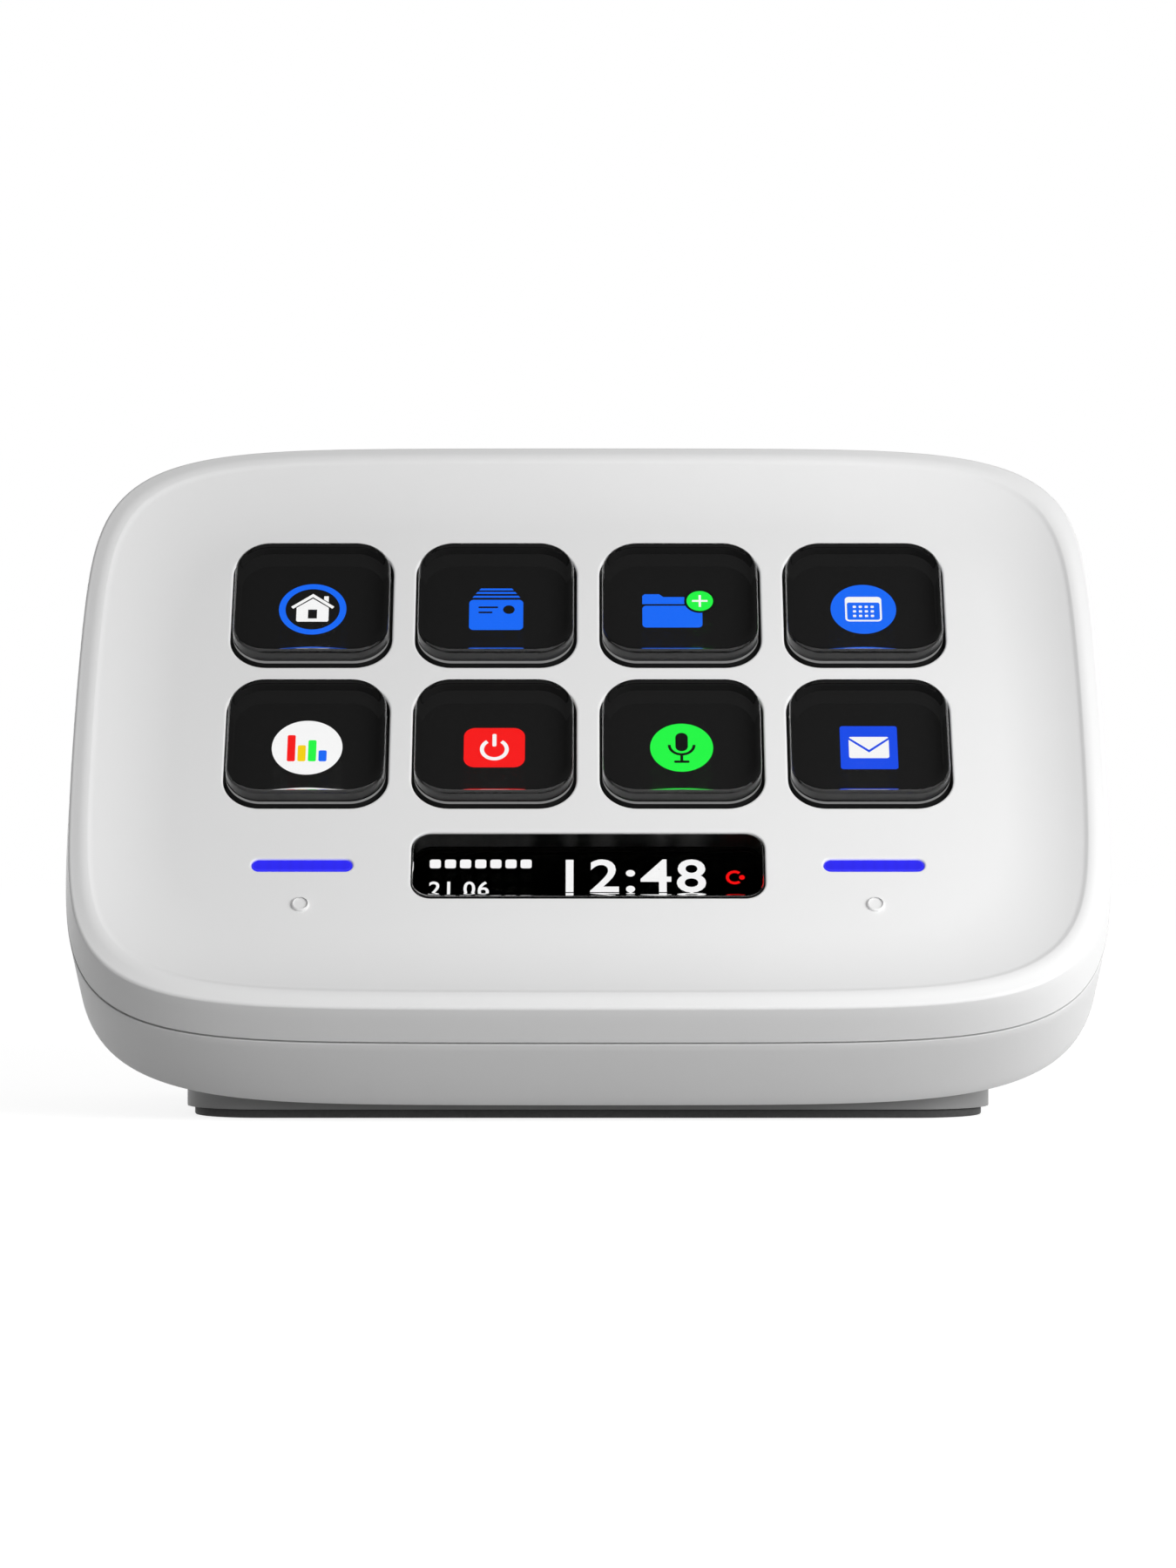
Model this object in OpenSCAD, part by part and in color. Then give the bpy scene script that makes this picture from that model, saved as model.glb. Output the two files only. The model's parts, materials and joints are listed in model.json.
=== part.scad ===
// Compact desk keypad: eight clear keys over one display, an info strip and two touch points,
// in a soft-cornered two-shell body that leans back on a weighted stand.
// Millimetres. +Z is up, the front faces -Y, and the origin is the centre of the pad's underside.

/* [Body] */
// Width of the body across the face
body_w = 107.4; // [104:0.2:114]
// Height of the body, measured along the face
body_h = 77.6; // [76.5:0.1:82]
// Squareness of the soft-cornered outline (2 is an ellipse)
squareness = 7.5; // [6.5:0.1:8.5]
// Bow of the body's left and right edges
side_bow = 1.45; // [0.5:0.05:2]
// Bow of the body's upper and lower edges
end_bow = 1.2; // [0.5:0.05:1.6]
// Lean of the face, measured up from the desk (degrees)
tilt = 49; // [44:1:54]
// Height of the rear shell's wall
rear_h = 11.3; // [9.5:0.1:13]
// Height of the front cover's wall
cover_h = 5.8; // [5:0.1:7]
// Open seam between the two shells
seam_gap = 0.2; // [0.1:0.05:0.4]
// Inward taper of the rear shell's wall
rear_draft = 0.9; // [0:0.1:1.2]
// Thickness of the shells' outer walls
wall = 2; // [1.8:0.1:2.4]
// Thickness of the rear shell's floor
floor_t = 2; // [1.8:0.1:2.4]
// Thickness of the face plate
cover_t = 1.6; // [1.4:0.1:2.2]

/* [Face] */
// Depth of the dished face below the rim
dish_depth = 1.8; // [1:0.1:2.2]
// Width of the soft slope between the rim and the flat of the face
dish_w = 10; // [6:0.5:12]
// Width of the rim band around the face
rim_w = 1.6; // [1.2:0.1:2.4]
// Fall of the rim band towards the outer edge
rim_fall = 0.26; // [0:0.02:0.5]

/* [Keys] */
// Centre distance of the keys across a row
key_pitch = 19.6; // [19.4:0.1:20.2]
// Centre distance of the two rows of keys
row_pitch = 19.45; // [19.3:0.05:20]
// Width of each key's window in the face
window = 17.2; // [16.6:0.1:17.5]
// Corner radius of each key's window
window_r = 3.9; // [3:0.1:5]
// Gap between a key and the edge of its window
key_gap = 0.5; // [0.3:0.05:0.6]
// Height of the keys above the face
key_rise = 2; // [0.5:0.05:2.4]
// Rounding of the keys' top edges
key_round = 1; // [0.4:0.1:1.2]
// Travel of a pressed key
key_travel = 1.2; // [0.8:0.1:1.4]
// Height of the upper key row above the centre of the face
upper_row = 16.9; // [16.5:0.05:17.5]

/* [Info strip and touch points] */
// Width of the info window
info_w = 36.4; // [30:0.2:38]
// Height of the info window
info_h = 8.7; // [7:0.1:9]
// Corner radius of the info window
info_r = 2.1; // [1.5:0.1:3]
// Height of the info window's lens above the face
lens_rise = 0.15; // [0:0.05:0.4]
// Thickness of the info window's lens
lens_t = 3.95; // [3:0.05:4.2]
// Distance from the lower key row down to the info window
info_drop = 16.25; // [16.1:0.05:16.8]
// Length of each light bar
bar_l = 10.2; // [8:0.2:12]
// Width of each light bar
bar_w = 1.4; // [1.2:0.1:2]
// Distance from the light bars down to the touch points
dot_drop = 5.3; // [4.8:0.1:5.6]
// Diameter of the raised touch points
dot_d = 1.8; // [1.2:0.1:2.2]

/* [Stand] */
// Width of the stand
stand_w = 84; // [76:1:86]
// Depth of the stand on the desk
stand_d = 44; // [40:1:50]
// Corner radius of the stand
stand_r = 8; // [6:0.5:10]
// Wall thickness of the stand
stand_wall = 2.2; // [1.8:0.1:2.6]
// Forward lean of the stand's rear wall over its height
stand_lean = 8; // [4:0.5:10]
// Clearance between the desk and the body's lowest edge
edge_clear = 1.8; // [1.5:0.1:5]
// Distance the stand is set back behind the body's lowest edge
setback = 5; // [3:0.5:7]
// Thickness of the base plate
base_t = 2; // [1.6:0.1:2.4]
// Thickness of the rubber pad
pad_t = 0.93; // [0.6:0.01:1.5]
// Step in from the stand's edge to the pad's edge
pad_inset = 0.8; // [0.4:0.1:1.5]
// Height of the cable port above the desk
port_h = 11; // [10.5:0.1:13]

/* [Inside] */
// Thickness of the display glass
lcd_t = 1.2; // [1:0.1:1.3]
// Thickness of the circuit boards
board_t = 1.2; // [1:0.1:1.3]
// Thickness of the steel ballast
ballast_t = 6; // [2:0.5:7]

/* [Hidden] */

$fn = 48;
cut = 1;                // overshoot of every cutting shape
fit_gap = 0.15;         // sliding clearance between pieces that nest
seat = 0.1;             // clearance under a piece that rests on another
cols = 4;
ring_steps = 96;        // points round the body's outline
corner_pull = 7;        // degrees by which those points crowd towards its corners
arc_steps = 8;          // points round one corner of a key

// Where the face stands: the rear plane of the body is the zero level of the face frame.
low_reach = body_h / 2 - rear_draft;
face_y = low_reach * cos(tilt) - stand_d / 2 - setback;
face_z = low_reach * sin(tilt) + edge_clear;

// Levels above the body's rear plane, from the face down.
rim_z = rear_h + seam_gap + cover_h;
plate_z = rim_z - dish_depth;
under_z = plate_z - cover_t;
frame_t = 0.7;
frame_z = under_z - frame_t;
flange_t = 0.5;
key_base = frame_z - seat - flange_t;
collar_left = 0.2;      // height left of a collar under a fully pressed key
mat_t = 0.4;
mat_z = key_base - key_travel - collar_left - mat_t;
sheet_t = 0.2;
lcd_z = mat_z - sheet_t - lcd_t;
light_t = 0.7;
tray_t = 0.6;
tray_z = lcd_z - light_t - tray_t;
tray_foot = 0.5;
board_z = tray_z - tray_foot - board_t;

// Places on the face.
key_w = window - 2 * key_gap;
key_r = window_r - key_gap;
flange_lip = 1;
row_v = [upper_row, upper_row - row_pitch];
middle_v = upper_row - row_pitch / 2;
info_v = upper_row - row_pitch - info_drop;
bar_x = (cols - 1) / 2 * key_pitch;
dot_v = info_v - dot_drop;

// The display stack spans the keys and the info strip.
lcd_edge = 1.2;
lcd_w = (cols - 1) * key_pitch + window + 2 * lcd_edge;
lcd_top = upper_row + window / 2 + lcd_edge;
lcd_low = info_v - info_h / 2 - lcd_edge;
lcd_h = lcd_top - lcd_low;
lcd_v = (lcd_top + lcd_low) / 2;
tray_wall = 0.8;
tray_w = lcd_w + 2 * (fit_gap + tray_wall);
tray_h = lcd_h + 2 * (fit_gap + tray_wall);
stack_r = 1.5;          // corner radius of the tray, mat and contact sheet
mat_edge = 0.7;         // width of a collar outside the key above it
mat_grip = 0.2;         // width of a collar under the key's edge
sheet_grip = 0.5;       // width of the contact sheet under the key's edge
foam = [7, 2.8];        // block under each touch point
tab_w = info_w + 6;     // tab of the key frame round the info window

// Fasteners.
screw_d = 2;
head_d = 3.6;
head_h = 1.2;
screw_gap = 0.1;
boss_d = 4.8;
bite = 0.6;             // depth by which bosses and posts run into what carries them

// Every screw stands midway between the display tray or board and the shell's wall.
inner_w = body_w - 2 * (wall + rear_draft);
inner_h = body_h - 2 * (wall + rear_draft);
tray_top = lcd_v + tray_h / 2;
tray_low = lcd_v - tray_h / 2;
board_w = tray_w + 1;
board_gap = 0.5;        // clearance between the board and the shell's wall
board_screw_x = tray_w / 2 - 5;
board_screw_v = [(tray_low - inner_h / 2) / 2, (tray_top + inner_h / 2) / 2];
cover_screw_in = 12.3;  // from the body's upper and lower edge
cover_screw = [(board_w + inner_w) / 4, body_h / 2 - cover_screw_in];
cover_seat = floor_t + head_h;
head_sink = 0.4;        // depth of the cover screws' heads below the shell's back
cover_grip = 3.9;       // thread of each screw in what it holds
stand_grip = 5;
base_screw_l = 6;

// Connectors and chips on the main board.
plug = [24, 3, 1.2];
plug_v = tray_low - plug[1] / 2 - 0.9;
flex_t = 0.3;
ribbon_w = 8;
ribbon_v = 8;
ribbon_plug = [ribbon_w + 2, 3, 1];
ribbon_land = 2;        // from the socket board's front edge to the ribbon on it
ribbon_drop = 5;        // straight run of the ribbon below the body's rear plane
ribbon_bend = 12;       // height above the port at which the ribbon turns straight down
slot = [ribbon_w + 4, 4];
processor = [10, 10, 1];
processor_at = [-13, -6];
memory = [8, 6, 1];
memory_at = [3, -6];
capacitor = [1.6, 0.8, 0.8];
capacitor_rows = [-14, 2];
capacitor_pitch = 5;
capacitor_start = -20;

// Low ribs across the rear shell's floor, clear of the stand's screws and the cable slot.
rib_t = 1;
rib_h = 0.7;
rib_x = [12, 30];
rib_v = 21;

// Stand.
stand_z = pad_t;
base_top = stand_z + base_t;
knee_z = base_top + 2;  // the rear wall is upright below this height
stand_top = face_z + (stand_d / 2 - face_y) * tan(tilt);
stand_screw = [24, 15];
stand_boss_h = 6;
post_d = 6;
post_h = 8;
post = [stand_w / 2 - stand_r + 1.6, stand_d / 2 - stand_r + 1.6];
web_t = 1.4;

// Cable port: a standard small oval socket behind a pocket for the plug's grip.
port_w = 12.6;
port_hh = 6.8;
port_depth = 5;
port_wall = 1.8;
port_back = 1.8;
port_y = stand_d / 2 - stand_lean * (port_h - knee_z) / (stand_top - knee_z) - port_depth;
socket = [8.94, 7.35, 3.26];
socket_wall = 0.3;
socket_back = 1;        // thickness of the socket's closed rear
mouth = [socket[0] - 2 * socket_wall, socket[2] - 2 * socket_wall];
tongue = [6.7, 4.8, 0.7];
usb_board = [20, 9.6];
usb_z = port_h - socket[2] / 2 - seat - board_t;
usb_y = port_y - port_back - fit_gap - usb_board[1];
usb_post = [7.5, 4];
usb_post_d = 4;
usb_pin_d = 1.6;

ballast_w = 52;
// Depth on the desk at which the stand's sloping roof is at height z inside.
function roof_y(z) = face_y + (z + stand_wall / cos(tilt) - face_z) / tan(tilt);
ballast_gap = 2.5;      // space between the ballast and its neighbours

// ---------------------------------------------------------------- helpers

// Moves children from the face frame (x across, y up the face, z out of it) to the desk frame.
module on_face() {
    translate([0, face_y, face_z]) rotate([tilt, 0, 0]) children();
}

// Point of a soft-cornered square of half-width 1, in the direction of angle a.
function soft_square(a) =
    [cos(a), sin(a)] / pow(pow(abs(cos(a)), squareness) + pow(abs(sin(a)), squareness), 1 / squareness);

// Soft-cornered outline of the body with bowed sides, drawn in by inset and lifted to level z.
function outline(inset, z) = [
    for (i = [0 : ring_steps - 1])
        let (a = 360 * i / ring_steps,
             p = soft_square(a + corner_pull * sin(4 * a)))
        [p[0] * (body_w / 2 - inset - side_bow * p[1] * p[1]),
         p[1] * (body_h / 2 - inset - end_bow * p[0] * p[0]), z]
];

// Rectangle with round corners, drawn in by inset and lifted to level z.
function soft_rect(w, h, r, inset, z) = [
    for (corner = [0 : 3], i = [0 : arc_steps])
        let (mid = 90 * corner + 45,
             a = 90 * (corner + i / arc_steps),
             rr = max(r - inset, 0.2))
        [(w / 2 - inset - rr) * sign(cos(mid)) + rr * cos(a),
         (h / 2 - inset - rr) * sign(sin(mid)) + rr * sin(a), z]
];

// Closed skin over a list of rings with the same number of points each.
module skin(rings) {
    n = len(rings[0]);
    last = len(rings) - 1;
    polyhedron(
        points = [for (ring = rings) each ring],
        faces = concat(
            [[for (i = [0 : n - 1]) i]],
            [for (k = [0 : last - 1], i = [0 : n - 1]) [k * n + i, (k + 1) * n + i, k * n + (i + 1) % n]],
            [for (k = [0 : last - 1], i = [0 : n - 1])
                [(k + 1) * n + i, (k + 1) * n + (i + 1) % n, k * n + (i + 1) % n]],
            [[for (i = [n - 1 : -1 : 0]) last * n + i]]
        )
    );
}

// Block on level low whose top edges at level top are rounded over by round.
module soft_block(w, h, r, low, top, round) {
    skin(concat(
        [soft_rect(w, h, r, 0, low)],
        [for (a = [0 : 30 : 90]) soft_rect(w, h, r, round * (1 - cos(a)), top - round * (1 - sin(a)))]
    ));
}

module rounded_rect(w, h, r) {
    square([w, h - 2 * r], center = true);
    square([w - 2 * r, h], center = true);
    for (sx = [-1, 1], sy = [-1, 1]) translate([sx * (w / 2 - r), sy * (h / 2 - r)]) circle(r);
}

// Rounded plate of thickness t that stands on level z.
module slab(w, h, r, z, t) {
    translate([0, 0, z]) linear_extrude(t) rounded_rect(w, h, r);
}

module at_keys() {
    for (c = [0 : cols - 1], v = row_v) translate([(c - (cols - 1) / 2) * key_pitch, v, 0]) children();
}

module mirrored(p) {
    for (sx = [-1, 1], sy = [-1, 1]) translate([sx * p[0], sy * p[1], 0]) children();
}

// Screw with its head's seat at the origin and its shank along -Z.
module screw(length) {
    difference() {
        union() {
            cylinder(d = head_d, h = head_h);
            translate([0, 0, -length]) cylinder(d = screw_d, h = length + head_h / 2);
        }
        for (a = [0, 90])
            rotate([0, 0, a]) translate([-head_d / 3, -0.2, head_h / 2]) cube([head_d / 1.5, 0.4, head_h]);
    }
}

// ---------------------------------------------------------------- body shells

dish_rings = 6;
under_rings = 3;
tongue_h = 1.25;        // tongue of the front cover inside the rear shell's lip
// Level of the dished face at a given share of the way from the flat (0) to the rim (1).
function dish_level(s) = plate_z + dish_depth * s * s;

module cover_skin() {
    flat = rim_w + dish_w;
    tongue_in = 1.2;
    tongue_low = rear_h + seam_gap - tongue_h;
    shoulder = 0.9;     // share of the slope at which the underside turns down into the wall
    skin(concat(
        [for (k = [0 : under_rings])
            let (s = shoulder * k / under_rings)
            outline(max(flat - dish_w * s, wall + 0.5), dish_level(s) - cover_t)],
        [outline(wall, dish_level(shoulder) - cover_t - 0.5)],
        [outline(wall, tongue_low)],
        [outline(tongue_in, tongue_low)],
        [outline(tongue_in, rear_h + seam_gap)],
        [outline(0, rear_h + seam_gap)],
        [outline(0, rim_z - rim_fall - 0.3)],
        [outline(0.1, rim_z - rim_fall - 0.1)],
        [outline(0.3, rim_z - rim_fall)],
        [outline(rim_w - 0.15, rim_z)],
        [outline(rim_w + 0.15, rim_z - 0.04)],
        [for (k = [dish_rings - 1 : -1 : 0])
            outline(flat - dish_w * k / dish_rings, dish_level(k / dish_rings))]
    ));
}

module front_cover() {
    color("white") on_face() {
        difference() {
            union() {
                cover_skin();
                mirrored(cover_screw) translate([0, 0, cover_seat])
                    cylinder(d = boss_d, h = plate_z - bite - cover_seat);
                for (sx = [-1, 1]) translate([sx * bar_x, dot_v, plate_z]) touch_dot();
            }
            at_keys() slab(window, window, window_r, frame_z, cover_t + dish_depth);
            translate([0, info_v, 0]) slab(info_w, info_h, info_r, frame_z, cover_t + dish_depth);
            for (sx = [-1, 1]) translate([sx * bar_x, info_v, 0])
                slab(bar_l + 2 * seat, bar_w + 2 * seat, bar_w / 2, frame_z, cover_t + dish_depth);
            mirrored(cover_screw) translate([0, 0, cover_seat - cut])
                cylinder(d = screw_d + 2 * screw_gap, h = cover_grip + 2 + cut);
        }
        at_stakes() {
            translate([0, 0, frame_z - seat]) cylinder(d = stake_d, h = frame_t + seat + bite);
            translate([0, 0, frame_z - seat - stake_head_t]) cylinder(d = stake_head_d, h = stake_head_t);
        }
    }
}

module touch_dot() {
    rise = 0.3;
    ball = (dot_d * dot_d / 4 + rise * rise) / (2 * rise);
    intersection() {
        translate([0, 0, rise - ball]) sphere(ball);
        translate([0, 0, -bite]) cylinder(d = dot_d, h = bite + rise);
    }
}

// Melted stakes that hold the key frame under the face plate.
stake_d = 1.6;
stake_head_d = 2.4;
stake_head_t = 0.4;
module at_stakes() {
    for (i = [-2 : 2], v = [middle_v - row_pitch, middle_v, middle_v + row_pitch])
        translate([i * key_pitch, v, 0]) children();
}

// Outer form of the rear shell: a tapered wall with a small broken edge at the back.
module rear_form() {
    edge = 0.4;
    skin([
        outline(rear_draft + edge, 0),
        outline(rear_draft * (1 - edge / rear_h), edge),
        outline(0, rear_h)
    ]);
}

// Straight-walled block inside the body's outline.
module body_block(inset, z, t) {
    translate([0, 0, z]) linear_extrude(t) polygon([for (p = outline(inset, 0)) [p[0], p[1]]]);
}

module floor_ribs() {
    h = floor_t + rib_h;
    for (sx = [-1, 1], x = rib_x) translate([sx * x - rib_t / 2, -body_h / 2, 0]) cube([rib_t, body_h, h]);
    for (sv = [-1, 1]) translate([-body_w / 2, sv * rib_v - rib_t / 2, 0]) cube([body_w, rib_t, h]);
}

module at_board_screws() {
    for (sx = [-1, 1], v = board_screw_v) translate([sx * board_screw_x, v, 0]) children();
}

module rear_shell() {
    lip = 1;
    lip_h = tongue_h + fit_gap;
    color("white") on_face() difference() {
        union() {
            difference() {
                rear_form();
                body_block(wall + rear_draft, floor_t, rear_h);
                body_block(lip, rear_h - lip_h, rear_h);
            }
            mirrored(cover_screw) translate([0, 0, floor_t - bite])
                cylinder(d = head_d + 3, h = cover_seat - seat - floor_t + bite);
            at_board_screws() translate([0, 0, floor_t - bite])
                cylinder(d = boss_d, h = board_z - floor_t + bite);
            intersection() {
                body_block(wall, floor_t - bite, rib_h + bite);
                floor_ribs();
            }
        }
        mirrored(cover_screw) {
            translate([0, 0, -cut]) cylinder(d = head_d + 4 * screw_gap, h = cut + head_h + head_sink);
            cylinder(d = screw_d + 4 * screw_gap, h = cover_seat + cut);
        }
        at_board_screws() translate([0, 0, floor_t - bite])
            cylinder(d = screw_d + 2 * screw_gap, h = board_z);
        mirrored(stand_screw) translate([0, 0, -cut])
            cylinder(d = screw_d + 4 * screw_gap, h = floor_t + 2 * cut);
        translate([0, ribbon_v, -cut]) linear_extrude(floor_t + 2 * cut) rounded_rect(slot[0], slot[1], 1);
    }
}

// ---------------------------------------------------------------- stand

// One level of the stand's form: a rounded rectangle whose rear edge moves forward by lean.
module stand_level(z, inset, lean) {
    r = stand_r - inset;
    for (sx = [-1, 1], y = [-stand_d / 2 + stand_r, stand_d / 2 - stand_r - lean])
        translate([sx * (stand_w / 2 - stand_r), y, z]) cylinder(r = r, h = 0.02, $fn = 32);
}

module stand_form(inset, low) {
    hull() {
        stand_level(low, inset, 0);
        stand_level(knee_z, inset, 0);
        stand_level(stand_top, inset, stand_lean);
    }
}

// Everything on the far side of the body's rear plane, down to level z of the face frame.
module behind(z) {
    on_face() translate([-body_w, -2 * body_h, z - 200]) cube([2 * body_w, 4 * body_h, 200]);
}

module stand() {
    color("gainsboro") difference() {
        union() {
            difference() {
                intersection() {
                    stand_form(0, stand_z);
                    behind(0);
                }
                intersection() {
                    stand_form(stand_wall, stand_z - cut);
                    behind(-stand_wall);
                }
            }
            intersection() {
                union() {
                    mirrored(post) translate([0, 0, base_top]) cylinder(d = post_d, h = post_h);
                    for (sx = [-1, 1], sy = [-1, 1])
                        translate([sx * post[0], sy * post[1], base_top]) post_webs(sx, sy);
                    translate([0, port_y - port_back, port_h]) port_block();
                }
                stand_form(stand_wall / 2, stand_z);
                behind(-stand_wall / 2);
            }
            on_face() mirrored(stand_screw)
                translate([0, 0, -stand_wall - stand_boss_h]) cylinder(d = boss_d, h = stand_boss_h + bite);
        }
        on_face() mirrored(stand_screw) translate([0, 0, -stand_wall - stand_boss_h - cut])
            cylinder(d = screw_d + 2 * screw_gap, h = stand_boss_h + stand_wall + 2 * cut);
        on_face() translate([0, ribbon_v, -stand_wall - cut]) linear_extrude(stand_wall + 2 * cut)
            rounded_rect(slot[0], slot[1], 1);
        mirrored(post) translate([0, 0, base_top - cut])
            cylinder(d = screw_d + 2 * screw_gap, h = base_screw_l + cut);
        translate([0, port_y, port_h]) rotate([-90, 0, 0])
            linear_extrude(port_depth + stand_lean) rounded_rect(port_w, port_hh, port_hh / 2 - 0.4);
        translate([0, port_y - port_back - cut, port_h]) rotate([-90, 0, 0])
            linear_extrude(port_back + 2 * cut)
                rounded_rect(socket[0] + 2 * fit_gap, socket[2] + 2 * fit_gap, socket[2] / 2);
    }
}

// Webs that tie a corner post to the two walls beside it.
module post_webs(sx, sy) {
    translate([sx > 0 ? 0 : -stand_r, -web_t / 2, 0]) cube([stand_r, web_t, post_h]);
    translate([-web_t / 2, sy > 0 ? 0 : -stand_r, 0]) cube([web_t, stand_r, post_h]);
}

// Walls of the cable port inside the stand, with its inner face at the origin.
module port_block() {
    rotate([-90, 0, 0]) linear_extrude(port_depth + port_back + stand_wall)
        rounded_rect(port_w + 2 * port_wall, port_hh + 2 * port_wall, port_hh / 2);
}

module base_plate() {
    inset = stand_wall + fit_gap;
    color("silver") difference() {
        union() {
            slab(stand_w - 2 * inset, stand_d - 2 * inset, stand_r - inset, stand_z, base_t);
            for (sx = [-1, 1]) translate([sx * usb_post[0], usb_y + usb_post[1], base_top - bite]) {
                cylinder(d = usb_post_d, h = usb_z - base_top + bite);
                cylinder(d = usb_pin_d, h = usb_z + board_t + 0.3 - base_top + bite);
            }
        }
        mirrored(post) translate([0, 0, stand_z - cut]) {
            cylinder(d = head_d + 4 * screw_gap, h = cut + head_h);
            cylinder(d = screw_d + 4 * screw_gap, h = base_t + 2 * cut);
        }
    }
}

module base_pad() {
    color("dimgray") slab(stand_w - 2 * pad_inset, stand_d - 2 * pad_inset, stand_r - pad_inset, 0, pad_t);
}

module ballast() {
    front = max(-stand_d / 2 + stand_wall + ballast_gap, roof_y(base_top + ballast_t + 1));
    depth = usb_y - ballast_gap - front;
    color("slategray") translate([0, front + depth / 2, 0]) slab(ballast_w, depth, 2, base_top, ballast_t);
}

// ---------------------------------------------------------------- keys and face trim

module key_cap(i) {
    c = (i - 1) % cols;
    row = floor((i - 1) / cols);
    color("aliceblue", 0.6) on_face()
        translate([(c - (cols - 1) / 2) * key_pitch, row_v[row], 0]) {
            soft_block(key_w, key_w, key_r, key_base, plate_z + key_rise, key_round);
            slab(key_w + 2 * flange_lip, key_w + 2 * flange_lip, key_r + flange_lip, key_base, flange_t);
        }
}

module key_frame() {
    top = middle_v + row_pitch + 2;
    low = middle_v - row_pitch - 2;
    color("black") on_face() difference() {
        union() {
            translate([0, (top + low) / 2, 0]) slab(4 * key_pitch + 4, top - low, 2, frame_z, frame_t);
            translate([0, info_v, 0]) slab(tab_w, info_h + 5, 2, frame_z, frame_t);
        }
        at_keys() slab(window + seat, window + seat, window_r, frame_z - cut, frame_t + 2 * cut);
        translate([0, info_v, 0])
            slab(info_w + seat, info_h + seat, info_r, frame_z - cut, frame_t + 2 * cut);
        at_stakes() translate([0, 0, frame_z - cut])
            cylinder(d = stake_d + 2 * fit_gap, h = frame_t + 2 * cut);
    }
}

module info_lens() {
    lens_round = 0.4;
    lens_lip = 0.7;
    color("gray", 0.6) on_face() translate([0, info_v, 0]) {
        w = info_w - 2 * seat;
        h = info_h - 2 * seat;
        top = plate_z + lens_rise;
        soft_block(w, h, info_r - seat, top - lens_t, top, lens_round);
        slab(w + 2 * lens_lip, h + 2 * lens_lip, info_r, frame_z - seat - flange_t, flange_t);
    }
}

module light_bar(side) {
    bar_lip = 0.8;
    color("blue") on_face() translate([side * bar_x, info_v, 0]) {
        slab(bar_l, bar_w, bar_w / 2 - 0.01, mat_z, plate_z - mat_z);
        slab(bar_l + 2 * bar_lip, bar_w + 2 * bar_lip, bar_w / 2, under_z - seat - flange_t, flange_t);
    }
}

module touch_foam(side) {
    low = mat_z + mat_t;
    color("gray") on_face() translate([side * bar_x - foam[0] / 2, dot_v - foam[1] / 2, low + seat])
        cube([foam[0], foam[1], under_z - low - 2 * seat]);
}

// ---------------------------------------------------------------- display stack

// Openings through which the display shines: keys, info strip and light bars.
module light_windows(key_size, z, t) {
    at_keys() slab(key_size, key_size, key_r - 0.5, z, t);
    translate([0, info_v, 0]) slab(info_w, info_h, info_r, z, t);
    for (sx = [-1, 1]) translate([sx * bar_x, info_v, 0])
        slab(bar_l + 4 * seat, bar_w + 4 * seat, bar_w / 2, z, t);
}

module key_mat() {
    collar = key_base - seat - mat_z - mat_t;
    color("dimgray") on_face() difference() {
        union() {
            translate([0, lcd_v, 0]) slab(tray_w, tray_h, stack_r, mat_z, mat_t);
            at_keys() slab(key_w + 2 * mat_edge, key_w + 2 * mat_edge, key_r, mat_z, mat_t + collar);
        }
        light_windows(key_w - 2 * mat_grip, mat_z - cut, mat_t + collar + 2 * cut);
    }
}

module contact_sheet() {
    color("darkgoldenrod") on_face() difference() {
        translate([0, lcd_v, 0]) slab(tray_w, tray_h, stack_r, mat_z - sheet_t, sheet_t);
        light_windows(key_w - 2 * sheet_grip, mat_z - sheet_t - cut, sheet_t + 2 * cut);
    }
}

module lcd_panel() {
    color("black") on_face() translate([0, lcd_v, 0]) slab(lcd_w, lcd_h, 0.8, lcd_z, lcd_t);
}

module backlight() {
    color("whitesmoke") on_face() translate([0, lcd_v, 0]) slab(lcd_w, lcd_h, 0.8, lcd_z - light_t, light_t);
}

module lcd_tray() {
    color("lightgray") on_face() translate([0, lcd_v, 0]) difference() {
        union() {
            slab(tray_w, tray_h, stack_r, tray_z, tray_t + light_t + lcd_t);
            mirrored([tray_w / 2 - 5, tray_h / 2 - 5])
                translate([0, 0, tray_z - tray_foot]) cylinder(d = 4, h = tray_foot + tray_t);
        }
        slab(tray_w - 2 * tray_wall, tray_h - 2 * tray_wall, 0.7, tray_z + tray_t, light_t + lcd_t + cut);
        translate([-plug[0] / 2 - 1, -tray_h / 2 - cut, lcd_z])
            cube([plug[0] + 2, tray_wall + fit_gap + 2 * cut, lcd_t + cut]);
    }
}

// ---------------------------------------------------------------- electronics

module main_board() {
    color("darkgreen") on_face() difference() {
        intersection() {
            body_block(wall + rear_draft + board_gap, board_z, board_t);
            slab(board_w, body_h, 1, board_z, board_t);
        }
        at_board_screws() translate([0, 0, board_z - cut])
            cylinder(d = screw_d + 4 * screw_gap, h = board_t + 2 * cut);
    }
}

module under_board(size, at) {
    on_face() translate([at[0] - size[0] / 2, at[1] - size[1] / 2, board_z - size[2]]) cube(size);
}

module processor_chip() {
    color("darkslategray") under_board(processor, processor_at);
}

module memory_chip() {
    color("darkslategray") under_board(memory, memory_at);
}

module board_capacitors() {
    color("tan") for (i = [0 : 5], v = capacitor_rows)
        under_board(capacitor, [capacitor_start + capacitor_pitch * i, v]);
}

module lcd_connector() {
    color("ivory") on_face() translate([-plug[0] / 2, plug_v - plug[1] / 2, board_z + board_t]) cube(plug);
}

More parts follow.
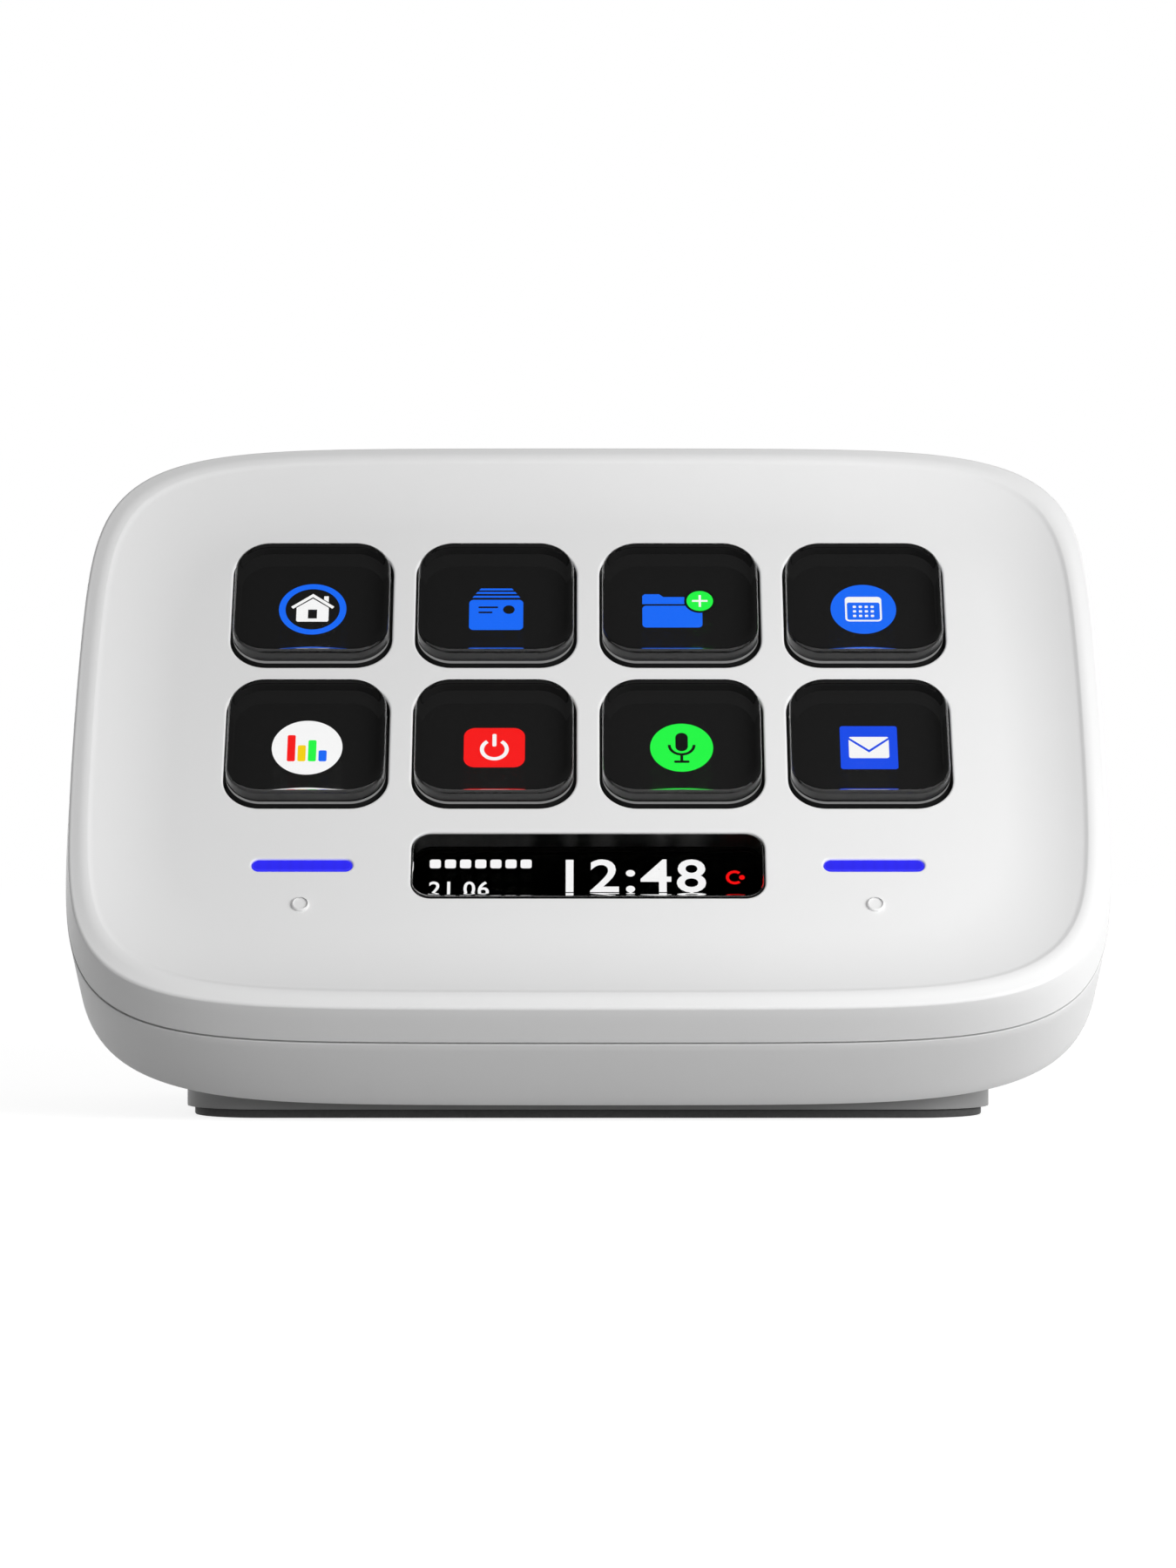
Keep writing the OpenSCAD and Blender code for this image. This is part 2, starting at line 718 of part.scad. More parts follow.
// Flat cable of width w and thickness t through points [y, z], with round bends.
module flat_cable(path, w, t) {
    translate([-w / 2, 0, 0]) rotate([90, 0, 90]) linear_extrude(w) {
        for (i = [0 : len(path) - 2]) {
            step = path[i + 1] - path[i];
            translate(path[i]) rotate(atan2(step[1], step[0])) translate([0, -t / 2]) square([norm(step), t]);
        }
        for (i = [1 : 1 : len(path) - 2]) translate(path[i]) circle(d = t);
    }
}

module lcd_flex() {
    mid = lcd_z + lcd_t / 2;
    start = lcd_v - lcd_h / 2 - seat;
    top = board_z + board_t + plug[2] + seat;
    color("darkorange") on_face()
        flat_cable([[start, mid], [plug_v, mid], [plug_v, top]], plug[0] - 2, flex_t);
}

module ribbon_connector() {
    color("ivory") under_board(ribbon_plug, [0, ribbon_v]);
}

// A point of the face frame's middle plane, as [y, z] of the desk frame.
function desk(v, w) = [face_y + v * cos(tilt) - w * sin(tilt), face_z + v * sin(tilt) + w * cos(tilt)];

module usb_ribbon() {
    y = usb_y + ribbon_land;
    color("darkorange") flat_cable([
        desk(ribbon_v, board_z - ribbon_plug[2] - seat),
        desk(ribbon_v, -ribbon_drop),
        [y, port_h + ribbon_bend],
        [y, usb_z + board_t + seat]
    ], ribbon_w, flex_t);
}

module usb_board() {
    color("darkgreen") difference() {
        translate([-usb_board[0] / 2, usb_y, usb_z]) cube([usb_board[0], usb_board[1], board_t]);
        for (sx = [-1, 1]) translate([sx * usb_post[0], usb_y + usb_post[1], usb_z - cut])
            cylinder(d = usb_pin_d + 2 * fit_gap, h = board_t + 2 * cut);
    }
}

module usb_socket() {
    color("silver") translate([0, port_y + fit_gap - socket[1], port_h]) rotate([-90, 0, 0]) difference() {
        linear_extrude(socket[1]) rounded_rect(socket[0], socket[2], socket[2] / 2 - 0.01);
        translate([0, 0, socket_back]) linear_extrude(socket[1])
            rounded_rect(mouth[0], mouth[1], mouth[1] / 2 - 0.01);
    }
}

module usb_tongue() {
    root = port_y + fit_gap - socket[1] + socket_back;
    color("black") translate([-tongue[0] / 2, root, port_h - tongue[2] / 2]) cube(tongue);
}

// ---------------------------------------------------------------- fasteners

module cover_screws() {
    color("silver") on_face() mirrored(cover_screw)
        translate([0, 0, head_h + head_sink]) rotate([180, 0, 0])
            screw(cover_seat + cover_grip - head_h - head_sink);
}

module board_screws() {
    color("silver") on_face() at_board_screws() translate([0, 0, board_z + board_t])
        screw(board_z + board_t - floor_t + bite);
}

module stand_screws() {
    color("silver") on_face() translate([0, 0, floor_t]) mirrored(stand_screw) screw(floor_t + stand_grip);
}

module base_screws() {
    color("silver") mirrored(post) translate([0, 0, stand_z + head_h])
        rotate([180, 0, 0]) screw(base_screw_l);
}

front_cover();
rear_shell();
stand();
base_plate();
base_pad();
key_frame();
key_cap(1);  // key_cap_1
key_cap(2);  // key_cap_2
key_cap(3);  // key_cap_3
key_cap(4);  // key_cap_4
key_cap(5);  // key_cap_5
key_cap(6);  // key_cap_6
key_cap(7);  // key_cap_7
key_cap(8);  // key_cap_8
info_lens();
light_bar(-1);  // light_bar_left
light_bar(1);  // light_bar_right
touch_foam(-1);  // touch_foam_left
touch_foam(1);  // touch_foam_right
key_mat();
contact_sheet();
lcd_panel();
backlight();
lcd_tray();
main_board();
processor_chip();
memory_chip();
board_capacitors();
lcd_connector();
lcd_flex();
ribbon_connector();
usb_ribbon();
usb_board();
usb_socket();
usb_tongue();
ballast();
cover_screws();
board_screws();
stand_screws();
base_screws();
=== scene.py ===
"""Looks of a desk display keypad: shells, clear keys, display picture, stand and studio.

Lengths are in metres. Shapes are drawn in the face's own frame, with x across, y up the face and z out of it,
where z is zero on the body's rear plane, and are then laid into the desk's frame. A level is a z of the face.
"""

import json
import math
from collections import Counter

import bmesh
import bpy
import numpy as np
from mathutils import Matrix, Vector
from mathutils.geometry import delaunay_2d_cdt


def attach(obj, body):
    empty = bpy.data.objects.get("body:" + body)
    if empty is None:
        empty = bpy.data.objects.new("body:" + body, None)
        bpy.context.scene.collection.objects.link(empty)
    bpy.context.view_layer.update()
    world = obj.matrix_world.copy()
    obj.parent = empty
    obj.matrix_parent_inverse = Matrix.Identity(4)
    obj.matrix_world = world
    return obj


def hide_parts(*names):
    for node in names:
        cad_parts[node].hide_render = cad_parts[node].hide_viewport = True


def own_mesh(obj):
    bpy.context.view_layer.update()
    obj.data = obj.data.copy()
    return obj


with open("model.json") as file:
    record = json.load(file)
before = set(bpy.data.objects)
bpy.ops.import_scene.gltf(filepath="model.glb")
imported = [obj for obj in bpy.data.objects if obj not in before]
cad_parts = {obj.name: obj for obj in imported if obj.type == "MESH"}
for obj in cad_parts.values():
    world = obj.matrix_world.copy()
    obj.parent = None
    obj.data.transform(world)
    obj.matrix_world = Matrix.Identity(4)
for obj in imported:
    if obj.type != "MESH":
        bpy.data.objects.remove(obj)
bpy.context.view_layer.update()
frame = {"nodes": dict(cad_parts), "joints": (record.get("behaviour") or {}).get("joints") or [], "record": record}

bl_info = {
    "name": "Display keypad looks",
    "version": (1, 0, 0),
    "blender": (4, 5, 0),
    "location": "3D View > Sidebar > Keypad",
    "description": "Dresses the packed keypad and sets up its studio",
    "category": "Object",
}

MM = 0.001
HAIR = 0.01 * MM  # keeps faces and points from coinciding
COAT = 0.05 * MM  # thickness of a painted coat, and width of an edge that is just broken
QUARTERS = ((1, 1), (-1, 1), (-1, -1), (1, -1))
SMOOTH_UP_TO = math.radians(32)

# ------------------------------------------------------------------ the face's frame

PRESS = Vector(next(j["axis"] for j in frame["joints"] if j["name"] == "key_1_press"))
ACROSS = Vector((1, 0, 0))
OUT = -PRESS.normalized()
UP = OUT.cross(ACROSS)


def desk_reach(node):
    """Lowest and highest corners of a CAD node along the face's three directions."""
    points = [vertex.co for vertex in frame["nodes"][node].data.vertices]
    reach = [[point.dot(axis) for point in points] for axis in (ACROSS, UP, OUT)]
    return Vector([min(r) for r in reach]), Vector([max(r) for r in reach])


SHELL_REACH = desk_reach("rear_shell")
FACE_ORIGIN = Vector((0, (SHELL_REACH[0].y + SHELL_REACH[1].y) / 2, SHELL_REACH[0].z))
FACE = Matrix((ACROSS, UP, OUT)).transposed().to_4x4()
FACE = FACE @ Matrix.Translation(FACE_ORIGIN)


def face_box(node):
    """Lowest and highest corners of a CAD node in the face's frame."""
    low, high = desk_reach(node)
    return low - FACE_ORIGIN, high - FACE_ORIGIN


def face_centre(node):
    low, high = face_box(node)
    return (low + high) / 2


def face_size(node):
    low, high = face_box(node)
    return high - low


COVER_LOW, COVER_HIGH = face_box("front_cover")
SEAM = face_box("rear_shell")[1].z
KEY_LOW, KEY_HIGH = face_box("key_cap_1")
KEY_NODES = sorted(name for name in frame["nodes"] if name.startswith("key_cap_"))
KEY_PITCH = face_centre("key_cap_2").x - face_centre("key_cap_1").x
KEY_CENTRES = {name: face_centre(name) for name in KEY_NODES}
BAR_NODES = ("light_bar_left", "light_bar_right")
TOUCH_NODES = ("touch_foam_left", "touch_foam_right")
LCD_TOP = face_box("lcd_panel")[1].z


# ------------------------------------------------------------------ sizes and colours


def length(name, description, millimetres):
    return bpy.props.FloatProperty(
        name=name, description=description, default=millimetres * MM, unit="LENGTH", precision=5
    )


def number(name, description, default, low=0.0, high=1000.0):
    return bpy.props.FloatProperty(name=name, description=description, default=default, min=low, max=high)


def colour(name, description, code):
    return bpy.props.FloatVectorProperty(
        name=name, description=description, default=linear(code), subtype="COLOR", size=3, min=0, max=1
    )


def linear(code):
    """Linear colour of a six-digit hexadecimal one."""
    parts = [int(code[i : i + 2], 16) / 255 for i in (0, 2, 4)]
    return tuple(c / 12.92 if c <= 0.04045 else ((c + 0.055) / 1.055) ** 2.4 for c in parts)


def grey(level):
    return (level, level, level)


class ShellSizes(bpy.types.PropertyGroup):
    squareness: number("Squareness", "Power of the soft-cornered outline from rim to seam", 6.3, 2, 12)
    back_squareness: number("Back squareness", "Power of the outline on the back", 5.6, 2, 12)
    side_bow: length("Side bow", "Bow of the left and right edges", 1.15)
    end_bow: length("End bow", "Bow of the upper and lower edges", 0.33)
    seam_swell: length("Seam swell", "Swell of the left and right walls at the seam", 0.62)
    end_swell: length("End swell", "Swell of the upper and lower walls at the seam", 0.12)
    back_swell: length("Back swell", "Swell of the left and right walls on the back", 0.25)
    end_draft: length("End draft", "Inward taper of the upper and lower walls towards the back", 0.6)
    dish_depth: length("Dish depth", "Depth of the dished face below the rim", 1.8)
    dish_width: length("Dish width", "Width of the slope between the rim and the flat", 9)
    rim_width: length("Rim width", "Width of the rim band", 1.6)
    rim_fall: length("Rim fall", "Fall of the rim band towards its outer edge", 0.26)
    crest: length("Crest", "Half-width of the soft crest between rim and slope", 0.6)
    plate: length("Plate", "Thickness of the face plate", 1.6)
    wall: length("Wall", "Thickness of the outer walls", 2)
    floor: length("Floor", "Thickness of the rear shell's floor", 2)
    seam: length("Seam", "Open seam between the two shells", 0.34)
    tongue_in: length("Tongue inset", "Inset of the front cover's tongue", 1.2)
    tongue: length("Tongue", "Depth of the tongue below the seam", 1.25)
    lip_in: length("Lip inset", "Inset of the rear shell's lip", 1)
    lip: length("Lip", "Depth of the rear shell's lip", 1.4)
    outer_round: length("Outer rounding", "Rounding of the rim's outer edge", 0.35)
    back_round: length("Back rounding", "Rounding of the rear shell's back edge", 0.4)
    seam_round: length("Seam rounding", "Broken edge on both sides of the seam", 0.06)
    window_round: length("Window rounding", "Rounding of each window's edge in the face", 0.22)
    dot: length("Touch point", "Diameter of a touch point", 1.8)
    dot_rise: length("Touch point height", "Height of a touch point above the face", 0.3)


class KeySizes(bpy.types.PropertyGroup):
    gap: length("Key gap", "Gap between a key and its window", 0.5)
    widen: length("Key widening", "Growth of a key's block to the left and right", 0.28)
    taper: length("Key taper", "Inward lean of a key's upper and lower walls from foot to top", 0.3)
    side_taper: length("Side taper", "Inward lean of a key's left and right walls from foot to top", 0.1)
    corner: length("Key corner", "Corner radius of a key", 3.45)
    block_corner: length("Block corner", "Corner radius of a key's clear block at its foot", 3.85)
    lip: length("Key lip", "Width of the lip that keeps a key in", 1)
    flange: length("Key flange", "Thickness of a key's lip", 0.5)
    rounding: length("Key rounding", "Rounding of a key's top edge", 0.75)
    block: length("Key block", "Thickness of a key's clear block", 3.5)
    air: length("Air gap", "Gap between a key's clear block and its picture", 0.6)
    foot: length("Key foot", "Thickness of the clear wall between a key's block and its lip", 0.45)
    mask: length("Key mask", "Width of the dark mask under the upper edge of a key's block", 1.9)
    mask_side: length("Mask side", "Width of the dark mask along the other edges of a key's block", 0.3)
    mask_corner: length("Mask corner", "Corner radius of the opening in the dark mask", 3.2)
    mat: length("Mat", "Thickness of the silicone mat", 0.4)
    mat_corner: length("Mat corner", "Corner radius of the silicone mat", 1.5)
    mat_window: length("Mat window", "Corner radius of the mat's window under a key", 2.95)
    collar_edge: length("Collar edge", "Width of a collar outside the key above it", 0.7)
    collar_grip: length("Collar grip", "Width of a collar under a key's edge", 0.2)
    collar_keep: number("Collar keep", "Share of a collar's height left under a pressed key", 0.12, 0.01, 1)
    skirt_in: length("Skirt inset", "Depth of a black skirt behind a clear wall", 0.06)
    info_corner: length("Info corner", "Corner radius of the info window", 2.1)
    info_lip: length("Info lip", "Width of the info lens's lip", 0.7)
    info_round: length("Info rounding", "Rounding of the info lens's top edge", 0.4)
    bar_lip: length("Bar lip", "Width of a light bar's lip", 0.8)
    bar_round: length("Bar rounding", "Rounding of a light bar's top edge", 0.18)
    lens_gap: length("Lens gap", "Gap round the info lens and the light bars", 0.1)
    lining: length("Lining", "Thickness of the dark lining in each window", 0.1)
    lining_low: length("Lining step", "Depth of the lining's top edge below the face", 0.3)


class PictureLooks(bpy.types.PropertyGroup):
    lift: length("Picture lift", "Height of each key's picture above the key's middle", 0.19)
    info_lift: length("Info lift", "Height of the info picture above the strip's middle", 2.55)
    layer: length("Layer", "Thickness of one layer of the picture", 0.02)
    glow: number("Glow", "Strength of the lit picture", 1.12)
    blue: colour("Blue", "Blue of the picture", "0f6cff")
    deep_blue: colour("Deep blue", "Blue of the mail tile", "0f4cf0")
    bar_blue: colour("Bar blue", "Blue of the light bars", "2b26fc")
    red: colour("Red", "Red of the picture", "ff1212")
    green: colour("Green", "Green of the picture", "1fff46")
    yellow: colour("Yellow", "Yellow of the picture", "ffd800")
    white: colour("White", "White of the picture", "ffffff")
    black: colour("Black", "Black of the picture", "101010")
    # The skirt and the sheet glow faintly with these tones, a painted stand-in for stray light.
    skirt: colour("Skirt", "Black inside a key's walls", "101010")
    sheet: colour("Sheet", "Black round a key's picture", "0d0d0d")


class StudioSettings(bpy.types.PropertyGroup):
    lens: number("Lens", "Focal length of the camera in millimetres", 135.78)
    distance: length("Distance", "Camera distance from the middle of the view", 614.9)
    aim: length("Aim", "Place of the view's middle up the face", -7.9)
    dip: bpy.props.FloatProperty(
        name="Dip", description="Downward look of the camera", default=math.radians(0.7), subtype="ANGLE"
    )
    key_power: number("Key light", "Power of the low softbox at the right in watts", 0.96)
    edge_power: number("Edge lights", "Power of each strip behind the object in watts", 0.55)
    ambient: number("Ambient", "Level of the sky on matt surfaces", 0.4)
    floor_tone: number("Floor tone", "Share of light that the floor gives back", 0.45)
    floor_glow: number("Floor glow", "Share of the floor's white that shadows don't darken", 0.82)


SETTINGS = {
    "keypad_shell": ShellSizes,
    "keypad_keys": KeySizes,
    "keypad_picture": PictureLooks,
    "keypad_studio": StudioSettings,
}


def settings(group):
    """One of the groups of sizes and colours: shell, keys, picture or studio."""
    return getattr(bpy.context.scene, f"keypad_{group}")


# ------------------------------------------------------------------ outlines


class Outline:
    """The body's soft-cornered outline with bowed sides, whose walls swell from the rim to the seam."""

    POINTS = 360
    SAMPLES = 20001

    def __init__(self):
        sizes = settings("shell")
        self.half = (COVER_HIGH.x, (COVER_HIGH.y - COVER_LOW.y) / 2)
        self.bow = (sizes.side_bow, sizes.end_bow)
        self.levels = (0, SEAM, COVER_HIGH.z)
        self.swell = ((sizes.back_swell, sizes.seam_swell, 0), (-sizes.end_draft, sizes.end_swell, 0))
        self.powers = (sizes.back_squareness, sizes.squareness, sizes.squareness)
        turn = np.linspace(0, 2 * math.pi, self.SAMPLES)
        fine = self.unit(turn, sizes.squareness)
        steps = np.hypot(*(np.diff(axis * half) for axis, half in zip(fine, self.half)))
        along = np.concatenate(([0], np.cumsum(steps)))
        self.turns = np.interp(np.linspace(0, along[-1], self.POINTS, endpoint=False), along, turn)

    def unit(self, turn, power):
        """Points of the soft-cornered square of half-width 1, in those directions."""
        x, y = np.cos(turn), np.sin(turn)
        reach = (np.abs(x) ** power + np.abs(y) ** power) ** (-1 / power)
        return x * reach, y * reach

    def ring(self, inset, level):
        x, y = self.unit(self.turns, np.interp(level, self.levels, self.powers))
        half_x, half_y = (
            half + np.interp(level, self.levels, swell) - inset for half, swell in zip(self.half, self.swell)
        )
        across = x * (half_x - self.bow[0] * y * y)
        along = y * (half_y - self.bow[1] * x * x)
        return [(px, py, level) for px, py in zip(across, along)]


def round_rect(width, height, radius, centre, level, steps=12):
    """Ring round a rectangle with round corners, from the upper right corner on, against the clock."""
    ring = []
    for index, (sx, sy) in enumerate(QUARTERS):
        for step in range(steps + 1):
            angle = math.pi / 2 * (index + step / steps)
            x = sx * (width / 2 - radius) + radius * math.cos(angle)
            y = sy * (height / 2 - radius) + radius * math.sin(angle)
            ring.append((centre[0] + x, centre[1] + y, level))
    return ring


def circle(radius, centre, level, steps=48):
    turn = 2 * math.pi / steps
    return [
        (centre[0] + radius * math.cos(turn * i), centre[1] + radius * math.sin(turn * i), level)
        for i in range(steps)
    ]


def quarter_round(radius, steps):
    """Pairs (inset, drop) over a rounded edge, from the wall's full inset to the flat's full drop."""
    angles = [math.pi / 2 * step / steps for step in range(steps + 1)]
    return [(radius * (1 - math.sin(angle)), radius * (1 - math.cos(angle))) for angle in angles]


# ------------------------------------------------------------------ meshes


def crossings(place, points, edges):
    """How many of the edges lie to the right of a place, at its height."""
    found = 0
    for i, j in edges:
        a, b = points[i], points[j]
        if (a.y > place.y) != (b.y > place.y):
            found += place.x < a.x + (place.y - a.y) * (b.x - a.x) / (b.y - a.y)
    return found


class Skin:
    """Points and faces of one closed surface, made of rings."""

    FILL_SCALE = 1000  # flats are filled in millimetres

    def __init__(self):
        self.points = []
        self.faces = []
        self.shade = {}

    def ring(self, points, crevice=0.0):
        """Adds a ring; the last argument sets how strongly painted shade darkens it as part of the seam."""
        start = len(self.points)
        self.points.extend(points)
        made = list(range(start, start + len(points)))
        if crevice:
            self.shade.update(dict.fromkeys(made, crevice))
        return made

    def bridge(self, lower, upper):
        for i in range(len(lower)):
            j = (i + 1) % len(lower)
            self.faces.append((lower[i], lower[j], upper[j], upper[i]))

    def loft(self, rings, painted_seam_shades=()):
        """Adds rings one after another, bridged, and returns the first and the last; the second argument gives
        painted seam shade to rings by their number.
        """
        made = [self.ring(points, dict(painted_seam_shades).get(i, 0.0)) for i, points in enumerate(rings)]
        for lower, upper in zip(made, made[1:]):
            self.bridge(lower, upper)
        return made[0], made[-1]

    def cap(self, ring):
        self.faces.append(tuple(ring))

    def solid(self, rings):
        """Lofts the rings and caps both ends."""
        for end in self.loft(rings):
            self.cap(end)

    def fill(self, outer, holes=()):
        """Flat triangles between an outer ring and the rings of its holes."""
        loops = [outer, *holes]
        lookup = [i for loop in loops for i in loop]
        flat = [Vector(self.points[i][:2]) * self.FILL_SCALE for i in lookup]
        edges, start = [], 0
        for loop in loops:
            count = len(loop)
            edges += [(start + i, start + (i + 1) % count) for i in range(count)]
            start += count
        places, _, triangles, origins, _, _ = delaunay_2d_cdt(flat, edges, [], 0, 1e-6)
        if len(places) != len(flat):
            raise RuntimeError("rings cross each other")
        for triangle in triangles:
            middle = sum((places[i] for i in triangle), Vector((0, 0))) / 3
            if crossings(middle, flat, edges) % 2:
                self.faces.append(tuple(lookup[origins[i][0]] for i in triangle))

    def plate(self, loops_at, levels):
        """Flat plate between two levels; loops_at gives its outer loop and its holes at a level."""
        made = [[self.ring(loop) for loop in loops_at(level)] for level in levels]
        for lower, upper in zip(*made):
            self.bridge(lower, upper)
        for outer, *holes in made:
            self.fill(outer, holes)

    def mesh(self, name, sharp=SMOOTH_UP_TO, smooth=True):
        mesh = bpy.data.meshes.new(name)
        mesh.from_pydata(self.points, [], self.faces)
        # Painted shade: the seam's rings carry a share that darkens their colour, in place of the shadow in the
        # gap.
        if self.shade:
            crevice = mesh.attributes.new("crevice", "FLOAT", "POINT")
            for index, value in self.shade.items():
                crevice.data[index].value = value
        tidy(mesh, sharp, smooth)
        return mesh


def tidy(mesh, sharp=SMOOTH_UP_TO, smooth=True):
    """Merges doubles, turns every face outwards and sets the shading."""
    work = bmesh.new()
    work.from_mesh(mesh)
    bmesh.ops.remove_doubles(work, verts=work.verts, dist=1e-7)
    bmesh.ops.recalc_face_normals(work, faces=work.faces)
    for face in work.faces:
        face.smooth = smooth
    work.to_mesh(mesh)
    work.free()
    if smooth:
        mesh.set_sharp_from_angle(angle=sharp)


def hoop(name, corners):
    """Mesh of a closed band whose cross-section has its corners on those rings."""
    skin = Skin()
    skin.loft([*corners, corners[0]])
    return skin.mesh(name)


def lay_on_face(mesh):
    mesh.transform(FACE)
    return mesh


def add_object(data):
    item = bpy.data.objects.new(data.name, data)
    bpy.context.scene.collection.objects.link(item)
    return item


def add_piece(mesh, material, body, replaces=()):
    """Adds a finished mesh as a piece that rides on a CAD body."""
    piece = add_object(mesh)
    mesh.materials.clear()
    mesh.materials.append(material)
    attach(piece, body)
    if replaces:
        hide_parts(*replaces)
    return piece


def evaluated_mesh(data, name, set_up=None):
    """Plain mesh of a helper object with that data, once set_up has put its modifiers on it."""
    helper = add_object(data)
    if set_up:
        set_up(helper)
    graph = bpy.context.evaluated_depsgraph_get()
    result = bpy.data.meshes.new_from_object(helper.evaluated_get(graph))
    bpy.data.objects.remove(helper)
    result.name = name
    return result


def softened_copy(node, name, width, segments=3):
    """Copy of a CAD node's mesh with merged points and softly broken edges."""
    mesh = frame["nodes"][node].data.copy()
    work = bmesh.new()
    work.from_mesh(mesh)
    bmesh.ops.remove_doubles(work, verts=work.verts, dist=2e-6)
    bmesh.ops.dissolve_limit(
        work, angle_limit=math.radians(1), use_dissolve_boundaries=False, verts=work.verts, edges=work.edges
    )
    for face in work.faces:
        face.smooth = True
    work.to_mesh(mesh)
    work.free()

    def set_up(helper):
        bevel = helper.modifiers.new("soft_edges", "BEVEL")
        bevel.width = width
        bevel.segments = segments
        bevel.limit_method = "ANGLE"
        bevel.angle_limit = math.radians(40)
        bevel.miter_outer = "MITER_ARC"

    result = evaluated_mesh(mesh, name, set_up)
    result.set_sharp_from_angle(angle=SMOOTH_UP_TO)
    return result


# ------------------------------------------------------------------ nodes


def add_node(tree, kind, values=(), **fields):
    """Adds a node, sets its fields and gives its inputs their values."""
    node = tree.nodes.new(kind)
    for field, value in fields.items():
        setattr(node, field, value)
    for socket, value in dict(values).items():
        node.inputs[socket].default_value = value
    return node


def wire(tree, *links):
    """Links sockets; each link names a node and its output, then a node and its input."""
    for source, output, target, socket in links:
        tree.links.new(source.outputs[output], target.inputs[socket])


def node_group(name, kind, inputs, outputs):
    """New node group with named inputs (label, kind, default if any) and outputs (label, kind)."""
    group = bpy.data.node_groups.new(name, kind)
    for label, form, *default in inputs:
        socket = group.interface.new_socket(name=label, in_out="INPUT", socket_type=f"NodeSocket{form}")
        if default:
            socket.default_value = default[0]
    for label, form in outputs:
        group.interface.new_socket(name=label, in_out="OUTPUT", socket_type=f"NodeSocket{form}")
    return group, group.nodes.new("NodeGroupInput"), group.nodes.new("NodeGroupOutput")


def grid_tree():
    """Geometry nodes that set copies of a mesh on a grid of points."""
    name = "Spread on a grid"
    if name in bpy.data.node_groups:
        return bpy.data.node_groups[name]
    inputs = [("Geometry", "Geometry"), ("Columns", "Int"), ("Rows", "Int")]
    inputs += [("Width", "Float"), ("Height", "Float"), ("Material", "Material")]
    tree, given, result = node_group(name, "GeometryNodeTree", inputs, [("Geometry", "Geometry")])
    grid = add_node(tree, "GeometryNodeMeshGrid")
    place = add_node(tree, "GeometryNodeInstanceOnPoints")
    realize = add_node(tree, "GeometryNodeRealizeInstances")
    paint = add_node(tree, "GeometryNodeSetMaterial")
    wire(
        tree,
        (given, "Columns", grid, "Vertices X"),
        (given, "Rows", grid, "Vertices Y"),
        (given, "Width", grid, "Size X"),
        (given, "Height", grid, "Size Y"),
        (grid, "Mesh", place, "Points"),
        (given, "Geometry", place, "Instance"),
        (place, "Instances", realize, "Geometry"),
        (realize, "Geometry", paint, "Geometry"),
        (given, "Material", paint, "Material"),
        (paint, "Geometry", result, "Geometry"),
    )
    return tree


def spread(mesh, name, columns, rows, width, height, material):
    """Copies of a mesh on a grid of that width and height round the origin, as one mesh."""
    tree = grid_tree()
    values = {"Columns": columns, "Rows": rows, "Width": width, "Height": height, "Material": material}

    def set_up(helper):
        modifier = helper.modifiers.new("spread", "NODES")
        modifier.node_group = tree
        for item in tree.interface.items_tree:
            if item.in_out == "INPUT" and item.name in values:
                modifier[item.identifier] = values[item.name]

    return evaluated_mesh(mesh, name, set_up)


# A colour Mix node's sockets go by number, because several of them share a name.
MIX_SHARE, MIX_A, MIX_B, MIXED = 0, 6, 7, 2


def grain_group():
    """Fine moulded grain: colour that drifts slightly and takes painted shade in the seam, roughness and height.
    """
    name = "Moulded grain"
    if name in bpy.data.node_groups:
        return bpy.data.node_groups[name]
    inputs = [
        ("Light colour", "Color", (1, 1, 1, 1)),
        ("Deep colour", "Color", (0, 0, 0, 1)),
        ("Smooth", "Float", 0.4),
        ("Rough", "Float", 0.5),
        ("Grain scale", "Float", 4000),
        ("Drift scale", "Float", 60),
        # Colour of the painted shade in the seam
        ("Crevice colour", "Color", (0.03, 0.03, 0.03, 1)),
    ]
    outputs = [("Color", "Color"), ("Roughness", "Float"), ("Height", "Float")]
    group, given, result = node_group(name, "ShaderNodeTree", inputs, outputs)
    place = add_node(group, "ShaderNodeTexCoord")
    fine = add_node(group, "ShaderNodeTexNoise", {"Detail": 3})
    drift = add_node(group, "ShaderNodeTexNoise", {"Detail": 2})
    gloss = add_node(group, "ShaderNodeMapRange", {"From Min": 0.3, "From Max": 0.7})
    # Painted shade: the mesh's seam share mixes the colour towards the seam's shade colour.
    crevice = add_node(group, "ShaderNodeAttribute", attribute_name="crevice")
    tint = add_node(group, "ShaderNodeMix", data_type="RGBA")
    paint_seam_shade = add_node(group, "ShaderNodeMix", data_type="RGBA")
    wire(
        group,
        (place, "Object", fine, "Vector"),
        (given, "Grain scale", fine, "Scale"),
        (place, "Object", drift, "Vector"),
        (given, "Drift scale", drift, "Scale"),
        (drift, "Fac", tint, MIX_SHARE),
        (given, "Light colour", tint, MIX_A),
        (given, "Deep colour", tint, MIX_B),
        (crevice, "Fac", paint_seam_shade, MIX_SHARE),
        (tint, MIXED, paint_seam_shade, MIX_A),
        (given, "Crevice colour", paint_seam_shade, MIX_B),
        (fine, "Fac", gloss, "Value"),
        (given, "Smooth", gloss, "To Min"),
        (given, "Rough", gloss, "To Max"),
        (paint_seam_shade, MIXED, result, "Color"),
        (gloss, "Result", result, "Roughness"),
        (fine, "Fac", result, "Height"),
    )
    return group


